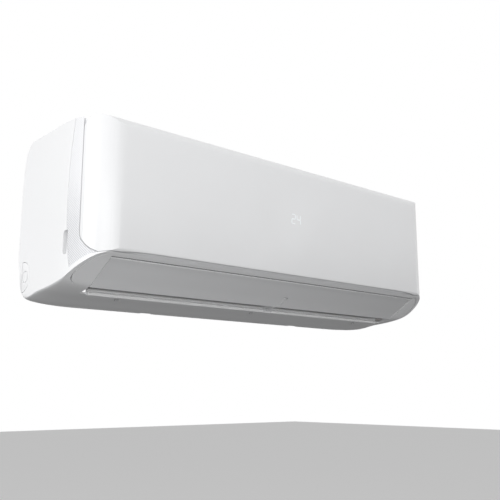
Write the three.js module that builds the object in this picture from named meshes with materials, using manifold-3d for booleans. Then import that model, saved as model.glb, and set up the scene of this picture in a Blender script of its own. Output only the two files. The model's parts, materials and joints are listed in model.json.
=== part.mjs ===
// Indoor unit of a wall-hung split air conditioner, in millimetres.
// +X runs along the unit, -Y is its front, +Z is up. The origin is the centre of the mounting
// plate's wall face. Inside this file z counts from the lower rear corner of the side walls,
// and the outer group shifts everything down by PLATE_MID_Z.
import * as THREE from "three";
import { mergeVertices } from "three/addons/utils/BufferGeometryUtils.js";
import Module from "manifold-3d";

const wasm = await Module();
wasm.setup();

// ---------- driving dimensions ----------
const LENGTH = 850; // overall, end to end
const HEIGHT = 270; // side wall, lower rear corner to top
const DEPTH = 241; // wall to the flat of the front panel
const CORNER_X = 64; // plan rounding at each end, measured along the unit
const CORNER_Y = 90; // the same rounding measured from front to back
const CORNER_POWER = 2.2; // superellipse exponent of that rounding
const TOP_RADIUS = 20; // front top edge
const SKIN = 2.5; // moulded wall of the casing
const PANEL_SKIN = 2.5; // moulded wall of the front panel
const RECESS = 3.3; // how far the casing lies back under the panel and the end strips
const CLEAR = 0.3; // between pieces that touch
const RUNNING_CLEAR = 1; // between pieces that move past each other

const STRIP_WIDTH = 9; // end strip seen from the front, between side wall and panel
const PANEL_CORNER = 22; // corner rounding of the panel, seen from the front
const PANEL_FOOT = 57; // lower edge of the panel at mid length
const PANEL_FOOT_END = 50; // the same edge where it meets the corners
const PANEL_REACH = 56; // how far the panel runs back over the top of the unit
const PANEL_GAP = 2; // between its rear edge and the casing top
const PANEL_PIN_IN = 56; // end of the panel to the middle of its hinge
const PANEL_PIN_RADIUS = 1.6;
const HINGE_BACK = 2.5; // rear edge of the panel to the hinge line
const HINGE_DOWN = 3.6; // top of the unit to the hinge line

const PLATE_MID_Z = 150; // height of the middle of the mounting plate
const PLATE_END = 135; // end of the unit to the end of the plate
const PLATE_DOWN = 27; // top of the unit to the top of the plate
const PLATE_FOOT = 66;
const PLATE_THICK = 1.5;
const PLATE_SCREW = 2.6; // radius of its screw holes
const CATCH_X = [-178, 208]; // lower spring catches of the mounting plate
const CATCH_FOOT = 4;
const HOOK_X = [-200, 200]; // upper hooks of the mounting plate
const HOOK_THICK = 2;

const WINDOW_FOOT = 88; // openings in the casing front for the filters
const WINDOW_DOWN = 22; // top of the unit to the top of the openings
const WINDOW_LAP = 6; // edge of a filter to the edge of its opening
const CHEEK_WALL = 3; // wall at each end of the outlet
const GRIP_BACK = 67.5; // front of the unit to the finger slot
const GRIP_WIDE = 10.5;
const GRIP_LOW = 53;
const GRIP_HIGH = 90;
const KNOCKOUT_Y = -49; // front of the round side of the pipe exit
const KNOCKOUT_REAR = -18;
const KNOCKOUT_LOW = 8;
const KNOCKOUT_HIGH = 60;
const KNOCKOUT_SCORE = 0.5; // depth of the ring scored in the pipe exit
const DRAIN_Y = -31;
const DRAIN_Z = 34;
const DRAIN_RADIUS = 10;
const GRILLE_END = 37; // end of the unit to the end of the top grille
const GRILLE_BACK = 69; // front of the unit to the grille
const GRILLE_REAR = -40;
const GRILLE_BAYS = 8;
const GRILLE_ROWS = 5;
const GRILLE_BAR = 5;
const SCREW_IN = 125; // end of the unit to the outer casing screws

const BACK_FRONT_Y = -12; // front face of the chassis back wall
const BACK_THICK = 2.5;
const BACK_DOWN = 12; // top of the unit to the top of that wall
const SHELF_Z = 62; // roof of the pipe trough
const CHASSIS_SKIN = 2.5;

const LEFT_BAY = 53.3; // end of the unit to the duct's left wall
const MOTOR_BAY = 107; // end of the unit to the duct's right wall
const DUCT_WALL = 3;

const FAN_BACK = 129; // front of the unit to the fan's axis
const FAN_Z = 104;
const FAN_RADIUS = 49;
const FAN_HUB_GAP = 6; // fan end disc to duct end wall
const FAN_BLADES = 20;
const FAN_DISCS = 4;
const BLADE_CHORD = 12;
const BLADE_THICK = 1.3;
const DISC_THICK = 3;
const SHAFT_RADIUS = 4;
const BUSH_RADIUS = 11;

const MOTOR_RADIUS = 41;
const MOTOR_GAP = 12; // duct end wall to the motor
const MOTOR_LENGTH = 62;
const ARC_SAG = 0.4; // what the flats of a faceted arc take from its radius
const CRADLE_WIDTH = 28;
const CLAMP_BAND = 3;
const CLAMP_EAR = 15;

const LOUVER_END = 51; // end of the unit to the end of the louver
const LOUVER_AXIS_Z = 26;
const LOUVER_THICK = 3;
const LOUVER_PIN = 3; // pin radius
const CENTRE_PIN = 2.5;
const BRACKET_X = 31.5;
const BRACKET_HALF = 4;
const LOUVER_AHEAD = 59; // fan's axis to the louver's pins
const RISER_AHEAD = 14; // fan's axis to the rear lip of the air outlet
const RISER_TOP = 12;
const RISER_IN = 11; // end of the louver to the end of the lip
const OUTLET_AHEAD = 113.5; // fan's axis to the front edge of the outlet

const COIL_THICK = 26; // depth of each evaporator slab
const COIL_END = 4; // tube sheet to duct end wall
const SHEET_THICK = 1.5;
const BEND_TUBE = 3.5; // radius of the copper return bends
const BEND_PITCH = 22;
const BEND_SEAT = 0.8; // how far a bend's ends reach into the tube sheet
const COIL_FOOT = 88;
const FINS = 10;
const FIN_WIDE = 2;
const SPIGOT_Z = 78.5;
const SPIGOT_RADIUS = 6;
const SPIGOT_BORE = 4;

const FILTER_BEHIND = 12; // fan's axis to the centre of the filters' arc
const FILTER_DOWN = 144; // top of the unit to that centre
const FILTER_RADIUS = 128;
const FILTER_THICK = 2.4;
const FILTER_FOOT = 84.5; // height of the filter's lower end
const FILTER_TO = 97; // degrees, upper end of the filter
const FILTER_INNER = 38; // middle rib to filter
const FILTER_CELLS = 2; // openings across one filter
const FILTER_ROWS = 3;
const FILTER_BAR = 6;
const FILTER_LEFT_IN = 73; // end of the unit to the outer edge of the left filter
const FILTER_RIGHT_IN = 125;

const VANES_A_SIDE = 6;
const VANE_FIRST = 32; // first vane from the middle of the duct
const VANE_END = 32.85; // last vane to the duct's end wall
const VANE_THICK = 1.6;
const VANE_HEIGHT = 32;
const VANE_CRANK = 14; // pivot to link pin
const VANE_PIN = 1.8;
const FLOOR_BEHIND = 4; // fan's axis to the point of the duct floor where the vanes pivot
const FLOOR_Z = 22.4;
const FLOOR_TILT = 23.7; // degrees, floor against level

const BOX_IN = 19; // end of the unit to the control box
const BOX_BACK_IN = 22; // front of the unit to the front of the box
const BOX_DEPTH = 49;
const BOX_FOOT = 92;
const BOX_DOWN = 24; // top of the unit to the top of the box
const BOX_SKIN = 2;
const TERMINALS = 5;
const BUTTON_Z = 120;
const DISPLAY_DOWN = 107.5; // top of the unit to the middle of the display
const DISPLAY_HALF = 30;
const DISPLAY_TALL = 32;
const DISPLAY_THICK = 1.4;

// ---------- places that follow from them ----------
const HALF = LENGTH / 2;
const PANEL_HALF = HALF - STRIP_WIDTH;
const PANEL_REAR_Y = -DEPTH + PANEL_REACH;
const PANEL_AXIS_Y = PANEL_REAR_Y - HINGE_BACK;
const PANEL_AXIS_Z = HEIGHT - HINGE_DOWN;
const PANEL_PIN_X = PANEL_HALF - PANEL_PIN_IN;
const PLATE_HALF_X = HALF - PLATE_END;
const PLATE_TOP = HEIGHT - PLATE_DOWN;
const BACK_TOP = HEIGHT - BACK_DOWN;
const DUCT_LEFT = -HALF + LEFT_BAY;
const DUCT_RIGHT = HALF - MOTOR_BAY;
const DUCT_MID = (DUCT_LEFT + DUCT_RIGHT) / 2;
const VANE_PITCH = ((DUCT_RIGHT - DUCT_LEFT) / 2 - VANE_FIRST - VANE_END) / (VANES_A_SIDE - 1);
const FAN_Y = -DEPTH + FAN_BACK;
const FLOOR_Y = FAN_Y + FLOOR_BEHIND;
const MOTOR_LEFT = DUCT_RIGHT + MOTOR_GAP;
const MOTOR_RIGHT = MOTOR_LEFT + MOTOR_LENGTH;
const LOUVER_HALF = HALF - LOUVER_END;
const LOUVER_AXIS_Y = FAN_Y - LOUVER_AHEAD;
const LOUVER_LINE = fromFan([
  [-110.5, 46.1],
  [-98, 39.3],
  [-84, 30.6],
  [-66, 19.6],
  [-54, 11.6],
  [-47, 6.9],
]); // outer face of the louver, front edge first
const LOUVER_TAIL = LOUVER_LINE[LOUVER_LINE.length - 1];
const LOUVER_REACH = Math.hypot(LOUVER_TAIL[0] - LOUVER_AXIS_Y, LOUVER_TAIL[1] - LOUVER_AXIS_Z);
const OUTLET_FRONT_Y = FAN_Y - OUTLET_AHEAD;
const RISER_Y = FAN_Y - RISER_AHEAD;
const RISER_HALF = LOUVER_HALF - RISER_IN;
const FILTER_Y = FAN_Y + FILTER_BEHIND;
const FILTER_Z = HEIGHT - FILTER_DOWN;
const FILTER_DROP = Math.asin((FILTER_Z - FILTER_FOOT) / FILTER_RADIUS);
const FILTER_FROM = 180 + THREE.MathUtils.radToDeg(FILTER_DROP); // degrees, lower end
const FILTER_OUTER_LEFT = HALF - FILTER_LEFT_IN;
const FILTER_OUTER_RIGHT = HALF - FILTER_RIGHT_IN;
const COIL_KNEE = HEIGHT - 98; // where the two front slabs of the coil meet
const BOX_LEFT = DUCT_RIGHT + DUCT_WALL + CLEAR;
const BOX_RIGHT = HALF - BOX_IN;
const BOX_FRONT = -DEPTH + BOX_BACK_IN;
const BOX_BACK = BOX_FRONT + BOX_DEPTH;
const BOX_TOP = HEIGHT - BOX_DOWN;

// Outlines round the airway are drawn in [y, z] with y counted from the fan's axis.
function fromFan(points) {
  return points.map(([y, z]) => [y + FAN_Y, z]);
}

// ---------- materials ----------
function plastic(colour, roughness = 0.45) {
  return new THREE.MeshStandardMaterial({ color: colour, roughness, metalness: 0 });
}

function metal(colour, roughness = 0.35) {
  return new THREE.MeshStandardMaterial({ color: colour, roughness, metalness: 1 });
}

const whiteGloss = plastic(0xf4f4f4, 0.3);
const whiteMatt = plastic(0xe6e7e8, 0.6);
const louverGrey = plastic(0xdcdddf, 0.4);
const darkPlastic = plastic(0x2e3033, 0.6);
const greyPlastic = plastic(0x9a9da1, 0.6);
const rubber = plastic(0x1c1c1c, 0.8);
const green = plastic(0x1f5a38, 0.5);
const zincSteel = metal(0xb4b8bc, 0.4);
const aluminium = metal(0xc9ccd0, 0.35);
const copper = metal(0xb87350, 0.3);
const brass = metal(0xc9a24a, 0.3);
const filterBlue = plastic(0x5f7f9c, 0.7);

// ---------- solids ----------
function solid(geometry) {
  const bare = geometry.clone();
  bare.deleteAttribute("normal");
  bare.deleteAttribute("uv");
  const merged = mergeVertices(bare, 1e-4);
  return new wasm.Manifold(
    new wasm.Mesh({
      numProp: 3,
      vertProperties: merged.attributes.position.array,
      triVerts: new Uint32Array(merged.index.array),
    }),
  );
}

function geometryOf(made) {
  const mesh = made.getMesh();
  const geometry = new THREE.BufferGeometry();
  geometry.setAttribute("position", new THREE.BufferAttribute(mesh.vertProperties, 3));
  geometry.setIndex(new THREE.BufferAttribute(mesh.triVerts, 1));
  geometry.computeVertexNormals();
  return geometry;
}

function union(...solids) {
  return solids.reduce((sum, one) => sum.add(one));
}

function cut(body, ...tools) {
  return tools.reduce((rest, tool) => rest.subtract(tool), body);
}

function box(x0, x1, y0, y1, z0, z1) {
  const geometry = new THREE.BoxGeometry(x1 - x0, y1 - y0, z1 - z0);
  return solid(geometry.translate((x0 + x1) / 2, (y0 + y1) / 2, (z0 + z1) / 2));
}

// A flat outline swept along one axis. The outline holds [y, z], [x, z] or [x, y] pairs.
const SWEEPS = {
  x: [new THREE.Vector3(0, 1, 0), new THREE.Vector3(0, 0, 1), new THREE.Vector3(1, 0, 0)],
  y: [new THREE.Vector3(1, 0, 0), new THREE.Vector3(0, 0, 1), new THREE.Vector3(0, -1, 0)],
  z: [new THREE.Vector3(1, 0, 0), new THREE.Vector3(0, 1, 0), new THREE.Vector3(0, 0, 1)],
};

function prism(axis, outline, from, to) {
  const shape = new THREE.Shape(outline.map((p) => new THREE.Vector2(p[0], p[1])));
  const geometry = new THREE.ExtrudeGeometry(shape, { depth: to - from, bevelEnabled: false });
  geometry.applyMatrix4(new THREE.Matrix4().makeBasis(...SWEEPS[axis]));
  const start = axis === "y" ? to : from;
  const shift = { x: [start, 0, 0], y: [0, start, 0], z: [0, 0, start] }[axis];
  return solid(geometry.translate(...shift));
}

function circle(cu, cv, radius, sides) {
  const points = [];
  for (let i = 0; i < sides; i++) {
    const angle = (2 * Math.PI * (i + 0.5)) / sides;
    points.push([cu + radius * Math.cos(angle), cv + radius * Math.sin(angle)]);
  }
  return points;
}

function rod(axis, cu, cv, radius, from, to, sides = 12) {
  return prism(axis, circle(cu, cv, radius, sides), from, to);
}

function arcPoints(cu, cv, radius, fromDegrees, toDegrees, steps) {
  const points = [];
  for (let i = 0; i <= steps; i++) {
    const angle = THREE.MathUtils.degToRad(
      fromDegrees + ((toDegrees - fromDegrees) * i) / steps,
    );
    points.push([cu + radius * Math.cos(angle), cv + radius * Math.sin(angle)]);
  }
  return points;
}

function arcBand(cu, cv, inner, outer, fromDegrees, toDegrees, steps) {
  const outside = arcPoints(cu, cv, outer, fromDegrees, toDegrees, steps);
  const inside = arcPoints(cu, cv, inner, fromDegrees, toDegrees, steps);
  return [...outside, ...inside.reverse()];
}

// A strip of even thickness on the left of a line of points.
function ribbon(line, thickness) {
  const side = line.map((point, i) => {
    const before = line[Math.max(i - 1, 0)];
    const after = line[Math.min(i + 1, line.length - 1)];
    const du = after[0] - before[0];
    const dv = after[1] - before[1];
    const length = Math.hypot(du, dv);
    return [point[0] - (dv / length) * thickness, point[1] + (du / length) * thickness];
  });
  return [...line, ...side.reverse()];
}

// ---------- outer form ----------
// Cross-sections in [y, z] at the side wall and at mid length. Both run from the rear foot
// forward under the unit and have the same number of points.
const UNDER_SIDE = [
  [-36, 0],
  ...fromFan([
    [31, 5.2],
    [-14, 9.8],
    [-48, 15.6],
    [-66, 22.3],
    [-84, 31.7],
    [-112, 45.8],
    [-124, 50.5],
  ]),
];
const UNDER_MIDDLE = [
  [-15, -8.5],
  ...fromFan([
    [31, -3.6],
    [-14, 0],
    [-48, 7.4],
    [-66, 18.6],
    [-84, 29.8],
    [-112, 47],
    [-123, 53],
  ]),
];
const REAR_SIDE = [
  [-29, HEIGHT],
  [-12, HEIGHT - 13],
  [-5.6, HEIGHT - 33],
  [-1.5, HEIGHT - 61],
  [0, HEIGHT - 102],
  [0, 77],
  [-2, 63],
  [-8.5, 40],
  [-16.5, 14],
];
const REAR_MIDDLE = [
  [-29, HEIGHT],
  [-12, HEIGHT - 13],
  [-5.6, HEIGHT - 33],
  [-1.5, HEIGHT - 61],
  [0, HEIGHT - 102],
  [0, 77],
  [0, 50],
  [-3, 20],
  [-7, 0],
];
const FRONT_FOOT = 60;
const BELLY_REACH = 100; // how far in from the side wall the underside reaches its full depth
const END_STATIONS = [0, 4, 13, 30, 58, BELLY_REACH];

function mix(a, b, share) {
  return [a[0] + (b[0] - a[0]) * share, a[1] + (b[1] - a[1]) * share];
}

function bodyOutline(fromEnd) {
  const out = Math.min(fromEnd / BELLY_REACH, 1);
  const share = Math.sqrt(1 - (1 - out) ** 2);
  const under = UNDER_SIDE.map((point, i) => mix(point, UNDER_MIDDLE[i], share));
  const rear = REAR_SIDE.map((point, i) => mix(point, REAR_MIDDLE[i], share));
  const top = arcPoints(-DEPTH + TOP_RADIUS, HEIGHT - TOP_RADIUS, TOP_RADIUS, 180, 90, 4);
  return [...under, [-DEPTH, FRONT_FOOT], ...top, ...rear];
}

// The outline moved inwards by an even distance.
function inset(outline, distance) {
  const count = outline.length;
  return outline.map((point, i) => {
    const before = outline[(i + count - 1) % count];
    const after = outline[(i + 1) % count];
    const a = new THREE.Vector2(point[0] - before[0], point[1] - before[1]).normalize();
    const b = new THREE.Vector2(after[0] - point[0], after[1] - point[1]).normalize();
    const normal = new THREE.Vector2(a.y + b.y, -a.x - b.x).normalize();
    const reach = distance / Math.max(normal.x * a.y - normal.y * a.x, 0.4);
    return [point[0] + normal.x * reach, point[1] + normal.y * reach];
  });
}

function loft(rings) {
  const count = rings[0].points.length;
  const positions = [];
  for (const ring of rings) {
    for (const point of ring.points) positions.push(ring.x, point[0], point[1]);
  }
  const faces = [];
  for (let k = 0; k + 1 < rings.length; k++) {
    for (let i = 0; i < count; i++) {
      const a = k * count + i;
      const b = k * count + ((i + 1) % count);
      faces.push(a, b + count, b, a, a + count, b + count);
    }
  }
  const contour = rings[0].points.map((p) => new THREE.Vector2(p[0], p[1]));
  const last = rings[rings.length - 1].points.map((p) => new THREE.Vector2(p[0], p[1]));
  const lastStart = (rings.length - 1) * count;
  for (const [a, b, c] of THREE.ShapeUtils.triangulateShape(contour, [])) faces.push(a, c, b);
  for (const [a, b, c] of THREE.ShapeUtils.triangulateShape(last, [])) {
    faces.push(lastStart + a, lastStart + b, lastStart + c);
  }
  const geometry = new THREE.BufferGeometry();
  geometry.setAttribute("position", new THREE.Float32BufferAttribute(positions, 3));
  geometry.setIndex(faces);
  return solid(geometry);
}

const PLAN_STEPS = 8;

// Plan outline [x, y] with superelliptic front corners.
function planOutline(depthIn) {
  const points = [];
  const rx = CORNER_X - depthIn;
  const ry = CORNER_Y - depthIn;
  const cx = HALF - CORNER_X;
  const cy = -DEPTH + CORNER_Y;
  for (let i = 0; i <= PLAN_STEPS; i++) {
    const angle = (Math.PI / 2) * (i / PLAN_STEPS);
    const x = cx + rx * Math.cos(angle) ** (2 / CORNER_POWER);
    const y = cy - ry * Math.sin(angle) ** (2 / CORNER_POWER);
    points.push([x, y]);
  }
  const mirrored = points.map(([x, y]) => [-x, y]).reverse();
  return [[HALF - depthIn, 30], ...points, ...mirrored, [-HALF + depthIn, 30]];
}

function body(depthIn) {
  const ends = END_STATIONS.map((s) => Math.max(s, depthIn));
  const lefts = [...new Set(ends)].map((s) => -HALF + s);
  const stations = [...lefts, ...lefts.map((x) => -x).reverse()];
  const rings = stations.map((x) => ({
    x,
    points: inset(bodyOutline(HALF - Math.abs(x)), depthIn),
  }));
  const plan = prism("z", planOutline(depthIn), -60, HEIGHT + 60);
  return loft(rings).intersect(plan);
}

// The zone in front of the seam between the side walls and the end strips, as a [y, z] outline.
const SEAM_TOP_Y = PANEL_REAR_Y + PANEL_GAP;
const SEAM_MIDDLE_Y = -DEPTH + 71;
const SEAM_FOOT_Y = -DEPTH + 60;
const SEAM_FOOT_Z = 31;
const SEAM_BULGE = 14; // how far the curve's handle lies behind its middle
const SHELF_UNDER_PANEL = [[5, 53], [24, 48.5]]; // behind the front, and height

function frontZone(shrink) {
  const above = HEIGHT + 20;
  const seam = new THREE.QuadraticBezierCurve(
    new THREE.Vector2(SEAM_FOOT_Y - shrink, SEAM_FOOT_Z + shrink),
    new THREE.Vector2(SEAM_MIDDLE_Y + SEAM_BULGE - shrink, HEIGHT / 2),
    new THREE.Vector2(SEAM_TOP_Y - shrink, above),
  );
  const rear = seam.getPoints(6).map((p) => [p.x, p.y]);
  const shelf = SHELF_UNDER_PANEL.map(([back, z]) => [-DEPTH + back, z + shrink]);
  const far = -DEPTH - 40;
  return prism("x", [...rear, [far, above], [far, shelf[0][1]], ...shelf], -HALF - 5, HALF + 5);
}

// The panel seen from the front, as an [x, z] outline grown by some distance.
function panelFace(grow) {
  const half = PANEL_HALF + grow;
  const foot = PANEL_FOOT - grow;
  const footEnd = PANEL_FOOT_END - grow;
  const corner = PANEL_CORNER;
  const top = HEIGHT + 2 + grow;
  const right = new THREE.Path();
  right.moveTo(half - 100, foot);
  right.quadraticCurveTo(half - 60, foot - 0.5, half - corner, footEnd);
  right.quadraticCurveTo(half, footEnd + 6, half, footEnd + corner + 14);
  right.lineTo(half, top - corner);
  right.quadraticCurveTo(half, top, half - corner, top);
  const points = right.getPoints(5).map((p) => [p.x, p.y]);
  return [...points, ...points.map(([x, z]) => [-x, z]).reverse()];
}

const outerBody = body(0);
const skinBody = body(SKIN);
const recessBody = body(RECESS);
const recessSkinBody = body(RECESS + SKIN);

// ---------- front panel ----------
function frontPanel() {
  const face = prism("y", panelFace(0), -DEPTH - 20, PANEL_REAR_Y);
  const side = prism("y", panelFace(0), PANEL_REAR_Y - 60, SEAM_MIDDLE_Y - 8);
  const behindTop = box(-HALF, HALF, PANEL_REAR_Y, 0, HEIGHT - 30, HEIGHT + 30);
  const region = cut(union(face, side), behindTop).intersect(frontZone(CLEAR + 0.5));
  const shell = cut(outerBody, body(PANEL_SKIN)).intersect(region);
  const parts = [shell];
  for (const side of [-1, 1]) {
    const x = side * PANEL_PIN_X;
    const notch = box(x - 6, x + 6, PANEL_AXIS_Y - 8.5, PANEL_REAR_Y + 1, HEIGHT - 12, HEIGHT + 1);
    parts[0] = cut(parts[0], notch);
    parts.push(rod("x", PANEL_AXIS_Y, PANEL_AXIS_Z, PANEL_PIN_RADIUS, x - 9, x + 9, 10));
  }
  return union(...parts);
}

// ---------- casing ----------

function filterWindow(x0, x1) {
  return box(x0, x1, -DEPTH - 5, -DEPTH + 36, WINDOW_FOOT, HEIGHT - WINDOW_DOWN);
}

function casing() {
  const zone = frontZone(0);
  const outer = union(cut(outerBody, zone), recessBody);
  const cavity = union(cut(skinBody, frontZone(-SKIN)), recessSkinBody);
  const rearOpen = prism(
    "x",
    [[40, -40], [40, HEIGHT + 20], [-9, HEIGHT + 20], [-9, HEIGHT - 8], [-7, 14], [-7, -40]],
    -HALF + SKIN,
    HALF - SKIN,
  );
  const outlet = box(
    -LOUVER_HALF - RUNNING_CLEAR, LOUVER_HALF + RUNNING_CLEAR,
    OUTLET_FRONT_Y, RISER_Y - SKIN, -30, SHELF_Z,
  );
  const grille = box(-GRILLE_HALF, GRILLE_HALF, GRILLE_FRONT, GRILLE_REAR, HEIGHT - 8, HEIGHT + 8);
  const shell = cut(outer, cavity, rearOpen, outlet, grille,
    filterWindow(-FILTER_OUTER_LEFT + WINDOW_LAP, -FILTER_INNER - WINDOW_LAP),
    filterWindow(FILTER_INNER + WINDOW_LAP, FILTER_OUTER_RIGHT - WINDOW_LAP),
    ...[-1, 1].map((side) => gripSlot(side)),
    ...[-1, 1].map((side) => knockoutHole(side, 0)),
    box(-GUTTER_HALF, GUTTER_HALF, GUTTER_FRONT, GUTTER_REAR, GUTTER_FLOOR, HEIGHT + 1),
  );
  const riser = box(-RISER_HALF, RISER_HALF, RISER_Y - SKIN, RISER_Y, -0.5, RISER_TOP);
  const cheeks = [-1, 1].map((side) => cheekWall(side));
  const lugs = [-1, 1].map((side) => panelLug(side));
  const made = union(shell, hingeGutter(), riser, ...cheeks, ...lugs);
  const pins = rod("x", LOUVER_AXIS_Y, LOUVER_AXIS_Z, LOUVER_PIN + CLEAR,
    -LOUVER_HALF - 12, LOUVER_HALF + 12, 12);
  const screws = SCREW_X.map((x) => rod("z", x, SCREW_Y, 2.3, -20, 20, 10));
  return cut(made, pins, ...screws);
}

// The wall at each end of the outlet that carries the louver pins.
const CHEEK_IN = LOUVER_HALF + RUNNING_CLEAR;
const CHEEK = fromFan([[-112, 38], [-110, 62], [-38, 44], [-28, 8], [-38, -2], [-63, 10]]);

function cheekWall(side) {
  const x0 = side > 0 ? CHEEK_IN : -CHEEK_IN - CHEEK_WALL;
  const wall = prism("x", CHEEK, x0, x0 + CHEEK_WALL);
  return wall.intersect(body(1));
}

// The rear edge of the panel dips into this gutter in the casing roof as the panel opens.
const GUTTER_HALF = PANEL_HALF - 3;
const GUTTER_FRONT = PANEL_AXIS_Y - 4;
const GUTTER_REAR = PANEL_REAR_Y + 5.4;
const GUTTER_FLOOR = PANEL_AXIS_Z - 3;

function hingeGutter() {
  const low = GUTTER_FLOOR - SKIN;
  const front = GUTTER_FRONT - SKIN;
  const rear = GUTTER_REAR + SKIN;
  const section = [[front, low], [rear, low], [rear, HEIGHT - 1], [GUTTER_REAR, HEIGHT - 1],
    [GUTTER_REAR, GUTTER_FLOOR], [GUTTER_FRONT, GUTTER_FLOOR],
    [GUTTER_FRONT, HEIGHT - RECESS - 0.5], [front, HEIGHT - RECESS - 0.5]];
  const trough = prism("x", section, -GUTTER_HALF, GUTTER_HALF);
  const ends = [-GUTTER_HALF - SKIN, GUTTER_HALF].map((x) =>
    box(x, x + SKIN, front, rear, low, HEIGHT - RECESS));
  return union(trough, ...ends).intersect(outerBody);
}

function panelLug(side) {
  const x = side * PANEL_PIN_X;
  const block = box(x - 3, x + 3, GUTTER_FRONT, GUTTER_REAR + 1, GUTTER_FLOOR - 1, HEIGHT - 0.6);
  const bore = rod("x", PANEL_AXIS_Y, PANEL_AXIS_Z, PANEL_PIN_RADIUS + CLEAR, x - 4, x + 4, 10);
  return cut(block, bore);
}

function gripSlot(side) {
  const x0 = side > 0 ? HALF - 16 : -HALF - 5;
  const front = -DEPTH + GRIP_BACK;
  return box(x0, x0 + 21, front, front + GRIP_WIDE, GRIP_LOW, GRIP_HIGH);
}

function knockoutOutline(grow) {
  const radius = (KNOCKOUT_HIGH - KNOCKOUT_LOW) / 2;
  const mid = (KNOCKOUT_HIGH + KNOCKOUT_LOW) / 2;
  const round = arcPoints(KNOCKOUT_Y + radius, mid, radius + grow, 90, 270, 8);
  const rear = KNOCKOUT_REAR + grow;
  return [...round, [rear, KNOCKOUT_LOW - grow], [rear, KNOCKOUT_HIGH + grow]];
}

function knockoutHole(side, grow) {
  const x0 = side > 0 ? HALF - 30 : -HALF - 5;
  return prism("x", knockoutOutline(grow), x0, x0 + 35);
}

function pipeKnockout(side) {
  const x0 = side > 0 ? HALF - SKIN : -HALF;
  const face = side * HALF;
  const plate = prism("x", knockoutOutline(-CLEAR), x0, x0 + SKIN);
  const score = (radius, spare) => rod("x", DRAIN_Y, DRAIN_Z, radius,
    face - KNOCKOUT_SCORE - spare, face + KNOCKOUT_SCORE + spare, 12);
  return cut(plate, cut(score(DRAIN_RADIUS, 0), score(DRAIN_RADIUS - 1, 1)));
}

// ---------- end strips ----------
function sideStrip(side) {
  const slab = cut(body(0.6), body(RECESS - CLEAR));
  const zone = frontZone(CLEAR);
  const away = prism("y", panelFace(RUNNING_CLEAR + 0.5), -DEPTH - 20, 0);
  const path = PANEL_HALF + RUNNING_CLEAR + 0.5;
  const above = box(-path, path, -DEPTH - 20, 0, HEIGHT - 2 * PANEL_CORNER, HEIGHT + 20);
  const x0 = side > 0 ? HALF - 60 : -HALF - 1;
  const half = box(x0, x0 + 61, -DEPTH - 1, -DEPTH + 91, 30, HEIGHT + 1);
  const made = cut(slab.intersect(zone), away, above).intersect(half);
  const slot = gripSlot(side);
  return largest(cut(made, slot));
}

function largest(made) {
  const bodies = made.decompose();
  return bodies.reduce((best, one) => (one.volume() > best.volume() ? one : best));
}

// ---------- top grille ----------
const GRILLE_HALF = HALF - GRILLE_END;
const GRILLE_FRONT = -DEPTH + GRILLE_BACK;

function topGrille() {
  const x0 = -GRILLE_HALF + CLEAR;
  const x1 = GRILLE_HALF - CLEAR;
  const y0 = GRILLE_FRONT + CLEAR;
  const y1 = GRILLE_REAR - CLEAR;
  const plate = box(x0, x1, y0, y1, HEIGHT - SKIN, HEIGHT - 0.2);
  const windows = [];
  const bay = (x1 - x0 - GRILLE_BAR) / GRILLE_BAYS;
  const row = (y1 - y0 - GRILLE_BAR) / GRILLE_ROWS;
  for (let i = 0; i < GRILLE_BAYS; i++) {
    for (let j = 0; j < GRILLE_ROWS; j++) {
      const x = x0 + GRILLE_BAR + i * bay;
      const y = y0 + GRILLE_BAR + j * row;
      windows.push(box(x, x + bay - GRILLE_BAR, y, y + row - GRILLE_BAR, HEIGHT - 6, HEIGHT + 2));
    }
  }
  return cut(plate, ...windows);
}

// ---------- chassis ----------
// The scroll wall behind and below the fan, from its free top edge to the outlet lip.
const SCROLL_TOP = COIL_KNEE - 24;
const SCROLL_LINE = [
  ...fromFan([
    [52, SCROLL_TOP],
    [57, 100 + (SCROLL_TOP - 100) * 0.52],
    [58, 100],
    [54, 76],
    [44, 54],
    [34, 40],
    [22, floorHeight(FAN_Y + 22)],
  ]),
  [RISER_Y + CLEAR, floorHeight(RISER_Y + CLEAR)],
];

function floorHeight(y) {
  return FLOOR_Z + (y - FLOOR_Y) * Math.tan(THREE.MathUtils.degToRad(FLOOR_TILT));
}

function sheetOutline(y0, y1, z0, z1) {
  return [[y0, z0], [y1, z0], [y1, z1], [y0, z1]];
}

function chassisSection() {
  const rear = BACK_FRONT_Y + BACK_THICK;
  const back = sheetOutline(BACK_FRONT_Y, rear, SHELF_Z, BACK_TOP);
  const shelf = sheetOutline(FAN_Y + 49.5, rear, SHELF_Z, SHELF_Z + CHASSIS_SKIN);
  return [back, shelf, ribbon(SCROLL_LINE, CHASSIS_SKIN)];
}

function endWall(x0, frontY) {
  const top = HEIGHT - 30;
  const foot = fromFan([[-52, 60], [-28, 50], [-14, 15.5], [22, 31], [50, SHELF_Z]]);
  const outline = [[BACK_FRONT_Y + 1, SHELF_Z], [BACK_FRONT_Y + 1, top], [frontY, top],
    [frontY, 57], ...foot];
  return prism("x", outline, x0, x0 + DUCT_WALL).intersect(body(RECESS + SKIN + CLEAR));
}

function toFloor(geometry) {
  const tilt = new THREE.Matrix4().makeRotationX(THREE.MathUtils.degToRad(FLOOR_TILT));
  const place = new THREE.Matrix4().makeTranslation(0, FLOOR_Y, FLOOR_Z);
  return geometry.applyMatrix4(place.multiply(tilt));
}

function vaneXs() {
  const xs = [];
  for (let i = 0; i < VANES_A_SIDE; i++) xs.push(DUCT_MID + VANE_FIRST + i * VANE_PITCH);
  return [...xs.map((x) => 2 * DUCT_MID - x).reverse(), ...xs];
}

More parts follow.
